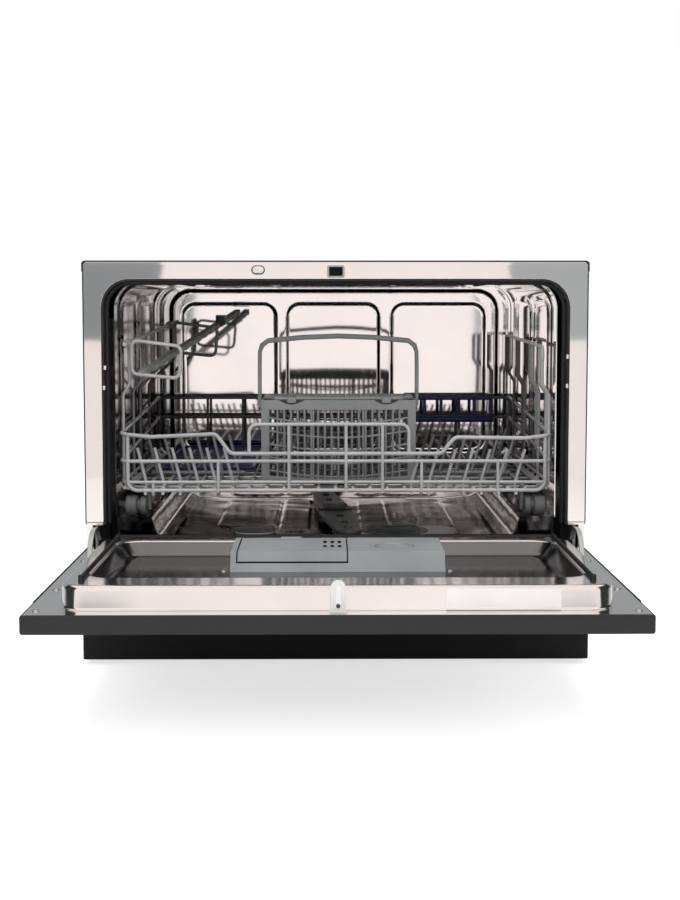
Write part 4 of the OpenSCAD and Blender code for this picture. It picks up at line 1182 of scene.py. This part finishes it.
def rearPanel():
    holes = [circleRing(*bore) for bore in rear["bores"]]
    for x in [-230 + rear["ventStep"] * i for i in range(rear["vents"])]:
        holes.append(ringPoints(x, x + 7, 300, 350, 3.4, 5))
    sheet = plate("rearSheet", ringPoints(*rear["outer"], 2, 3), holes, *rear["y"], galvanised)
    rails = [(addBox, (x0, 473.4, z0), (x1, 474.9, z1), 0.6) for x0, x1, z0, z1 in rear["rails"]]
    obj = joinParts("rearPanel", [sheet, solid("rearRails", galvanised, 40, *rails)], 40)
    stand(obj, "cabinet", "galvanised_sheet", "rear_panel")


# kick plate: rows are how far the edge draws in, and height
kick = {"half": 271, "front": -20, "round": 4, "rear": -0.2,
        "rows": ((0.0, 6), (0.0, 8), (0.0, 61.2), (0.5, 62.8), (1.5, 63.7), (3.0, 64.0))}


def kickPlate():
    half, front, r, back = kick["half"], kick["front"], kick["round"], kick["rear"]
    outline = arc(-half, front, r, 180, 90, 6) + arc(half, front, r, 270, 90, 6) + [(half + r, back), (-half - r, back)]
    bm = bmesh.new()
    rows = []
    for inset, z in kick["rows"]:
        row = []
        for x, y in outline:
            sx = x - math.copysign(inset, x) if abs(x) > half - 1 else x
            row.append(bm.verts.new(point(sx, y + inset if y < front + 2 else y, z)))
        rows.append(row)
    loft(bm, rows)
    stand(fromBmesh("kickPlate", bm, [kickPlastic], 50), "cabinet", "dark_plastic", "kick_plate")


foot = {"profile": ((12.5, 0), (14.4, 0.3), (15, 1.2), (15, 3.2), (14.2, 4), (9, 4.1), (9, 6)), "x": (-230, 230),
        "y": (45, 430)}
sill = {"half": 242.8, "y": (4.2, 7.8), "z": (127.3, 136.0), "soft": 1.2,
        "bead": ((4.2, 134.5), (5.2, 137.4), (7.6, 138.3), (10.2, 137.2), (11.8, 134.6), (11.9, 131.4), (10.6, 129.0),
                 (7.8, 128.0), (6.6, 127.4), (5, 127.4))}


def feetAndSill():
    feet = [(addLathe, foot["profile"], (x, y, 0), "z", 36) for x in foot["x"] for y in foot["y"]]
    stand(solid("feet", blackRubber, 40, *feet), "cabinet", "black_rubber", "feet")
    w, (y0, y1), (z0, z1) = sill["half"], sill["y"], sill["z"]
    seal = solid("sillSeal", blackRubber, 50, (addBox, (-w, y0, z0), (w, y1, z1), sill["soft"]),
                 (addPrism, sill["bead"], -w, w))
    stand(seal, "cabinet", "black_rubber", "sill_seal")


outerPanel = {"half": 275.0, "front": -285.0, "far": 23.0, "low": 105.8, "high": 122.9, "soft": 2.6, "corner": 6.0}


def doorOuterPanel():
    # a tray lofted from U-shaped rows, open towards the control panel
    p = outerPanel
    bm = bmesh.new()
    profile = [(0.0, p["high"]), (0.0, p["low"] + p["soft"])]
    profile += arc(p["soft"], p["low"] + p["soft"], p["soft"], 180, 90, 4)[1:]
    rows = []
    for inset, z in profile:
        r, cx, cy = p["corner"] - inset, p["half"] - p["corner"], p["far"] - p["corner"]
        ring = [(-p["half"] + inset, p["front"]), *arc(-cx, cy, r, 180, -90, 6), *arc(cx, cy, r, 90, -90, 6),
                (p["half"] - inset, p["front"])]
        rows.append([bm.verts.new(point(x, y, z)) for x, y in ring])
    for a, b in zip(rows, rows[1:]):
        for k in range(len(a) - 1):
            bm.faces.new((a[k], a[k + 1], b[k + 1], b[k]))
    bm.faces.new(rows[-1])
    obj = fromBmesh("doorOuterPanel", bm, [doorPaint], 35)
    thick(obj, 1.2, -1)
    obj = subtract(obj, solid("outerSlots", doorPaint, 40, (addPair, (264.5, 15, 107.6), (270, 30, 131))))
    shade(obj, 35)
    stand(obj, "door", "casing", "door_outer_panel")


strap = {"x": (258.6, 263.9), "rounds": (39.4, 36.6), "from": 172, "sweep": 137, "steps": 30, "soft": 0.35,
         "foot": ((-42, 107.2), (14, 121.6), 0.4)}


def hingeStraps():
    (x0, x1), (outer, inner), start, sweep, n = [strap[key] for key in ("x", "rounds", "from", "sweep", "steps")]
    cy, cz = hinge["y"], hinge["z"]
    bow = arc(cy, cz, outer, start, -sweep, n) + arc(cy, cz, inner, start - sweep, sweep, n)
    shapes = [(addPrism, bow, *sorted((side * x0, side * x1)), strap["soft"], 1) for side in (-1, 1)]
    (y0, z0), (y1, z1), soft = strap["foot"]
    shapes.append((addPair, (x0, cy + y0, z0), (x1, cy + y1, z1), soft, 1))
    stand(solid("hingeStraps", zincSteel, 35, *shapes), "door", "green_zinc", "hinge_straps")


casing()
rearPanel()
frontFrame()
hingeCovers()
kickPlate()
feetAndSill()
doorOuterPanel()
hingeStraps()
print("casing made")


# screws: one tree sets a cross-head screw on each marked point
def buildScrewTree():
    tree, given = startTree("screwTree", [("Screw", "Object")])
    info = addNode(tree, "GeometryNodeObjectInfo", links={"Object": given["Screw"]})
    facing = tree.nodes.new("GeometryNodeInputNamedAttribute")
    facing.data_type = "FLOAT_VECTOR"
    facing.inputs["Name"].default_value = "facing"
    align = addNode(tree, "FunctionNodeAlignRotationToVector", links={"Vector": facing.outputs["Attribute"]})
    align.axis = "Z"
    links = {"Points": given["Geometry"], "Instance": info.outputs["Geometry"], "Rotation": align.outputs["Rotation"]}
    each = addNode(tree, "GeometryNodeInstanceOnPoints", links=links)
    return endTree(tree, given, each.outputs["Instances"])


def screwHead():
    bm = bmesh.new()
    rows = []
    for r, h in ((3.15, -0.4), (3.2, 0.3), (2.9, 0.95), (2.1, 1.4), (1.6, 1.5)):
        rows.append([bm.verts.new(Vector((u, v, h)) / 1000) for u, v in circleRing(0, 0, r, 20)])
    loft(bm, rows, ends=False)
    dip = bm.verts.new((0, 0, 0.0006))
    for a, b in zip(rows[-1], rows[-1][1:] + rows[-1][:1]):
        bm.faces.new((a, b, dip))
    bm.faces.new(rows[0][::-1])
    obj = fromBmesh("screwHead", bm, [brushedSteel], 40)
    scene.collection.objects.unlink(obj)
    return obj


screwTree, screwShape = buildScrewTree(), screwHead()


def screws(name, places, material, body, *nodes):
    me = bpy.data.meshes.new(name)
    me.from_pydata([tuple(point(*p)) for p, _ in places], [], [])
    at = me.attributes.new("facing", "FLOAT_VECTOR", "POINT")
    for spot, (_, way) in zip(at.data, places):
        spot.vector = way
    inputs = {"Screw": screwShape, "Finish": material}
    obj = bake(newObject(name, me), "NODES", node_group=screwTree, inputs=inputs)
    shade(obj, 40)
    stand(obj, body, "galvanised_sheet", *nodes)


up, back = (0, 0, 1), (0, 1, 0)
spots = [((side * 264, y, liner["flange"]), up) for side in (-1, 1) for y in (-327, -230, -76)]
spots += [((side * 111.5, -163, liner["pan"]), up) for side in (-1, 1)]
screws("doorScrews", spots, brushedSteel, "door", "door_screws")
sideSpots = ((40, 20), (240, 20), (452, 20), (460, 240), (460, 410))
spots = [((side * 273.5, y, z), (side, 0, 0)) for side in (-1, 1) for y, z in sideSpots]
screws("sideScrews", spots, darkSteel, "cabinet")
rearSpots = ((-262, 20), (0, 18), (262, 20), (-262, 220), (262, 220), (-262, 415), (0, 419), (262, 415))
screws("rearScrews", [((x, 473.5, z), back) for x, z in rearSpots], darkSteel, "cabinet")


# spray arm and its post; the arm's stations are half its length, drawn from end to end
arm = {"turn": 5, "tip": 15, "tipFrom": 168, "root": 24, "hub": 21.5, "high": 3.8,
       "jets": (-160, -118, -70, 78, 126, 158),
       "stations": (0, 12, 24, 40, 60, 90, 120, 150, 168, 173, 177, 180, 182, 182.98)}


def armWidth(s):
    t = abs(s)
    if t > arm["tipFrom"]:
        return math.sqrt(arm["tip"] ** 2 - (t - arm["tipFrom"]) ** 2)
    return arm["tip"] + (arm["root"] - arm["tip"]) * (1 - t / arm["tipFrom"]) if t > arm["root"] else arm["hub"]


def sprayArm():
    zf, turn, (cx, cy) = floorPan["flat"], math.radians(arm["turn"]), floorPan["postAt"]
    bm = bmesh.new()
    rows = []
    for s in [-s for s in arm["stations"][:0:-1]] + list(arm["stations"]):
        w = max(0.3, armWidth(s))
        tall = arm["high"] * min(1, w / 3)
        row = []
        for ca, sa in circleRing(0, 0, 1, 12):
            x, z = math.copysign(abs(ca) ** 0.55, ca) * w, math.copysign(abs(sa) ** 0.7, sa) * tall
            row.append(bm.verts.new(point(x * math.cos(turn) - s * math.sin(turn),
                                          cy + x * math.sin(turn) + s * math.cos(turn), zf + 10.8 + z)))
        rows.append(row)
    bmesh.ops.recalc_face_normals(bm, faces=loft(bm, rows))
    hub = [(9.4, 2.9), (20.4, 2.9), (21, 3.6), (21, 14), (20, 15.1), (9.4, 15.1)]
    addLathe(bm, hub, (cx, cy, zf), "z", 40)
    for s in arm["jets"]:
        at = (-s * math.sin(turn), cy + s * math.cos(turn), zf)
        addLathe(bm, [(5, 12), (4.8, 15), (3.4, 16.5), (1.6, 16.5), (1.3, 15.6)], at, "z", 18)
    stand(fromBmesh("sprayArm", bm, [darkPlastic], 45), "spray_arm", "grey_plastic", "spray_arm")


post = {"profile": ((6, -36), (8.9, -44), (8.9, 0.2), (20, 0.2), (19.4, 2.4), (8.9, 2.5), (8.9, 15.6), (13.6, 15.6),
                    (14, 16.4), (14, 20.4), (12, 22), (6, 22)),
        "ribs": 10, "ribAt": 13.9, "rib": ((1.1, 16.6), (1.1, 20.4)), "pipe": 9, "pipeLow": -46, "bend": 24, "end": 16}


def sprayPost():
    zf, (cx, cy), r = floorPan["flat"], floorPan["postAt"], post["pipe"]
    ribs = [(addLathe, post["rib"], (x, y, zf), "z", 8) for x, y in circleRing(cx, cy, post["ribAt"], post["ribs"])]
    obj = solid("sprayPost", greyPlastic, 40, (addLathe, post["profile"], (cx, cy, zf), "z", 36), *ribs,
                (addLathe, [(r, -0.5), (r, post["bend"])], (cx, cy, zf + post["pipeLow"]), "y", 24),
                (addLathe, [(r, 0), (r, post["end"])], (cx, cy + post["bend"], zf + post["pipeLow"]), "x", 24))
    stand(obj, "cabinet", "grey_plastic", "spray_post")


# flat filter and its cup; profiles are radius and height over the floor
filters = {"plate": ((39.7, 0.4), (39.7, 1.4), (44, 1.5), (70, 1.5), (73.4, 1.2), (74, 0.2)),
           "cup": ((31.1, -41.9), (31.1, 1.6), (32, 2), (38.6, 2), (39.4, 1.2), (39.4, -3.6), (34, -4), (34, -43.6)),
           "grip": (31.6, 2.8, -3.8, 4.8), "studAt": 35.2, "stud": ((2.6, 1.8), (2.2, 3.4))}


def rings(bm, profile, steps):
    return [[bm.verts.new(point(x, y, floorPan["flat"] + h)) for x, y in circleRing(*floorPan["filterAt"], r, steps)]
            for r, h in profile]


def filterParts():
    zf, (cx, cy), (long, wide, low, high) = floorPan["flat"], floorPan["filterAt"], filters["grip"]
    bm = bmesh.new()
    loft(bm, rings(bm, filters["plate"], 60), loop=True)
    stand(fromBmesh("filterPlate", bm, [meshSteel], 35), "cabinet", "brushed_steel", "filter_plate")
    bm = bmesh.new()
    bmesh.ops.recalc_face_normals(bm, faces=loft(bm, rings(bm, filters["cup"], 48)))
    addBox(bm, (cx - long, cy - wide, zf + low), (cx + long, cy + wide, zf + high), 1.4)
    for x, y in arc(cx, cy, filters["studAt"], 45, 270, 3):
        addLathe(bm, filters["stud"], (x, y, zf), "z", 14)
    stand(fromBmesh("filterCup", bm, [greenPlastic], 35), "filter_cup", "green_plastic", "filter_cup")


salt = {"profile": ((19.4, -12), (19.9, -11.4), (19.9, 1.8), (24.4, 1.8), (25, 2.4), (25, 3.2), (24, 4), (15, 4),
                    (14, 3.2)),
        "ribs": 20, "ribAt": 24.2, "rib": ((0.9, 2.2), (0.7, 3.8)), "grip": (19.8, 2.9, 2.6, 5.9)}


def saltCap():
    zf, (cx, cy), (long, wide, low, high) = floorPan["flat"], floorPan["saltAt"], salt["grip"]
    ribs = [(addLathe, salt["rib"], (x, y, zf), "z", 6) for x, y in circleRing(cx, cy, salt["ribAt"], salt["ribs"])]
    obj = solid("saltCap", saltPlastic, 40, (addLathe, salt["profile"], (cx, cy, zf), "z", 44),
                (addBox, (cx - long, cy - wide, zf + low), (cx + long, cy + wide, zf + high), 1.0), *ribs)
    stand(obj, "salt_cap", "white_plastic", "salt_cap")


sprayArm()
sprayPost()
filterParts()
saltCap()


# door switch button, seen through the frame's oval opening
switch = {"rows": ((2.6, -3.0), (3.4, -2.6), (3.8, -1.6), (3.8, 2.5), (3.4, 2.6)),
          "stem": ((3.5, 2.4), (3.5, 16.6), (3.1, 17))}


def switchButton():
    x0, z0 = mouth["switchAt"]
    bm = bmesh.new()
    rows = []
    for r, y in switch["rows"]:
        rows.append([bm.verts.new(point(x, y, z)) for x, z in ovalRing(x0, z0, r, mouth["switchFlat"], 12)])
    bmesh.ops.recalc_face_normals(bm, faces=loft(bm, rows))
    addLathe(bm, switch["stem"], (x0, 0, z0), "y", 24)
    obj = fromBmesh("switchButton", bm, [whitePlastic], 40)
    stand(obj, "door_switch_button", "white_plastic", "door_switch_button")


# rear fittings; profiles are radius and y
inlet = {"at": (190, 0, 70), "body": ((172, 427, 48), (208, 465, 92), 2), "spout": ((6.4, 407), (8, 408), (8, 428)),
         "thread": ((8.6, 462), (12, 462.2), (12.2, 463), (12.2, 466), (11.2, 466.2), (11.2, 467), (12.2, 467.2),
                    (12.2, 470), (11.2, 470.2), (11.2, 471), (12.2, 471.2), (12.2, 474.2), (11.4, 475), (9, 475),
                    (9, 466))}
gland = {"at": (-190, 0, 50), "body": ((-215, 429, 30), (-165, 463, 72), 2),
         "nut": ((3.2, 475), (7.8, 475), (8.8, 474), (8.8, 472), (13, 472), (13, 462), (5, 461))}


def rearFittings():
    obj = solid("inletValve", whitePlastic, 35, (addLathe, inlet["thread"], inlet["at"], "y", 36),
                (addBox, *inlet["body"]), (addLathe, inlet["spout"], inlet["at"], "y", 24))
    stand(obj, "cabinet", "white_plastic", "inlet_valve")
    obj = solid("cordGland", blackRubber, 35, (addLathe, gland["nut"], gland["at"], "y", 28), (addBox, *gland["body"]))
    stand(obj, "cabinet", "black_rubber", "cord_gland")


switchButton()
rearFittings()
print("fittings made")

# hidden works keep their drawn shapes and take plain finishes
finishes = {"base_tray": galvanised, "sump": darkPlastic, "water_softener": whitePlastic, "wash_pump": darkPlastic,
            "drain_pump": darkPlastic, "flow_heater": brushedSteel, "water_guide": whitePlastic,
            "latch_case": darkPlastic, "hinge_plates": galvanised, "door_springs": brushedSteel}
for label, mat in finishes.items():
    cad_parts[label].data.materials.clear()
    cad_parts[label].data.materials.append(mat)


# floor, backdrop and light; the sheets of light are seen by polished steel alone
studio = {"floorGain": 0.7, "diffuse": 0.42, "glossy": (0.03, 0.032, 0.034), "cardY": -1720.0, "cardTop": 2600,
          "left": -384, "right": 403, "shelfHigh": 312, "coveHigh": 494, "far": 3000, "pinkWhite": (1.0, 0.93, 0.905),
          "sides": {"left": (0.29, 0.31, 0.32), "right": (0.43, 0.46, 0.47)}, "rearGrey": (0.33, 0.345, 0.355),
          "lights": {"topSoft": ((0.0, -0.55, 2.0), (0, -0.15, 0.2), (2.0, 1.6), 30),
                     "frontSoft": ((-0.9, -2.3, 1.5), (0, -0.2, 0.2), (1.4, 1.0), 15),
                     "rightSoft": ((1.9, -1.2, 1.2), (0, 0, 0.25), (1.0, 1.0), 8)}}


def rayKind(tree, kind):
    return addNode(tree, "ShaderNodeLightPath").outputs[kind]


def floorSheet():
    pale = {"Base Color": (0.9, 0.9, 0.9, 1), "Roughness": 0.95, "Specular IOR Level": 0.0}
    mat, tree, bsdf = nodeTree("paleFloor", pale)
    seen = tree.nodes.new("ShaderNodeMath")
    seen.operation = "MULTIPLY"
    seen.inputs[1].default_value = studio["floorGain"]
    tree.links.new(rayKind(tree, "Is Camera Ray"), seen.inputs[0])
    glow = addNode(tree, "ShaderNodeEmission", links={"Strength": seen.outputs[0]})
    both = tree.nodes.new("ShaderNodeAddShader")
    tree.links.new(bsdf.outputs["BSDF"], both.inputs[0])
    tree.links.new(glow.outputs["Emission"], both.inputs[1])
    end = next(n for n in tree.nodes if n.type == "OUTPUT_MATERIAL")
    tree.links.new(both.outputs["Shader"], end.inputs["Surface"])
    meshObject("floorSheet", [(-6, -6, 0), (6, -6, 0), (6, 6, 0), (-6, 6, 0)], [(0, 1, 2, 3)], [mat])


def backdrop():
    world = bpy.data.worlds.new("studio")
    scene.world = world
    world.use_nodes = True
    tree = world.node_tree
    tree.nodes.clear()
    seen = addNode(tree, "ShaderNodeBackground", {"Color": (1, 1, 1, 1), "Strength": studio["diffuse"]}).outputs[0]
    for kind, color in (("Is Glossy Ray", studio["glossy"]), ("Is Camera Ray", (1, 1, 1))):
        plain = addNode(tree, "ShaderNodeBackground", {"Color": (*color, 1), "Strength": 1.0})
        mix = tree.nodes.new("ShaderNodeMixShader")
        for k, source in enumerate((rayKind(tree, kind), seen, plain.outputs[0])):
            tree.links.new(source, mix.inputs[k])
        seen = mix.outputs[0]
    addNode(tree, "ShaderNodeOutputWorld", links={"Surface": seen})


def areaLight(name, place, target, size, power):
    data = bpy.data.lights.new(name, "AREA")
    data.shape = "RECTANGLE"
    data.size, data.size_y = size
    data.energy = power
    obj = newObject(name, data)
    obj.location = place
    obj.rotation_euler = (Vector(target) - Vector(place)).to_track_quat("-Z", "Y").to_euler()
    obj.visible_glossy = False


def glowing(name, color, strength):
    mat = bpy.data.materials.new(name)
    mat.use_nodes = True
    tree = mat.node_tree
    tree.nodes.clear()
    glow = addNode(tree, "ShaderNodeEmission", {"Color": (*color, 1), "Strength": strength})
    addNode(tree, "ShaderNodeOutputMaterial", links={"Surface": glow.outputs[0]})
    return mat


def card(name, corners, mat):
    obj = meshObject(name, corners, [(0, 3, 2, 1)], [mat])
    obj.visible_camera = obj.visible_diffuse = obj.visible_shadow = obj.visible_transmission = False


def frontCard(name, x0, x1, z0, z1, color, strength, y=studio["cardY"]):
    corners = [point(x0, y, z0), point(x1, y, z0), point(x1, y, z1), point(x0, y, z1)]
    card(name, corners, glowing(name, color, strength))


def cards():
    s = studio
    pink, shelf, cove, top = s["pinkWhite"], s["shelfHigh"], s["coveHigh"], s["cardTop"]
    frontCard("middleCard", s["left"], s["right"], 0, top, pink, 1.0)
    for label, grey in s["sides"].items():
        edge, far = s[label], math.copysign(s["far"], s[label])
        x0, x1 = sorted((edge, far))
        frontCard(label + "LowCard", x0, x1, 0, shelf, pink, 0.95)
        frontCard(label + "MiddleCard", x0, x1, shelf, cove, grey, 1.0)
        frontCard(label + "HighCard", x0, x1, cove, top, pink, 0.95)
        x0, x1 = sorted((math.copysign(280, far), far))
        frontCard(label + "RearCard", x0, x1, 100, 1500, s["rearGrey"], 1.0, 1400)
    corners = [(-3, -1.72, 2.6), (3, -1.72, 2.6), (3, 1.4, 2.6), (-3, 1.4, 2.6)]
    card("topCard", corners, bpy.data.materials["leftHighCard"])


floorSheet()
backdrop()
cards()
for label, light in studio["lights"].items():
    areaLight(label, *light)
print("stage made")
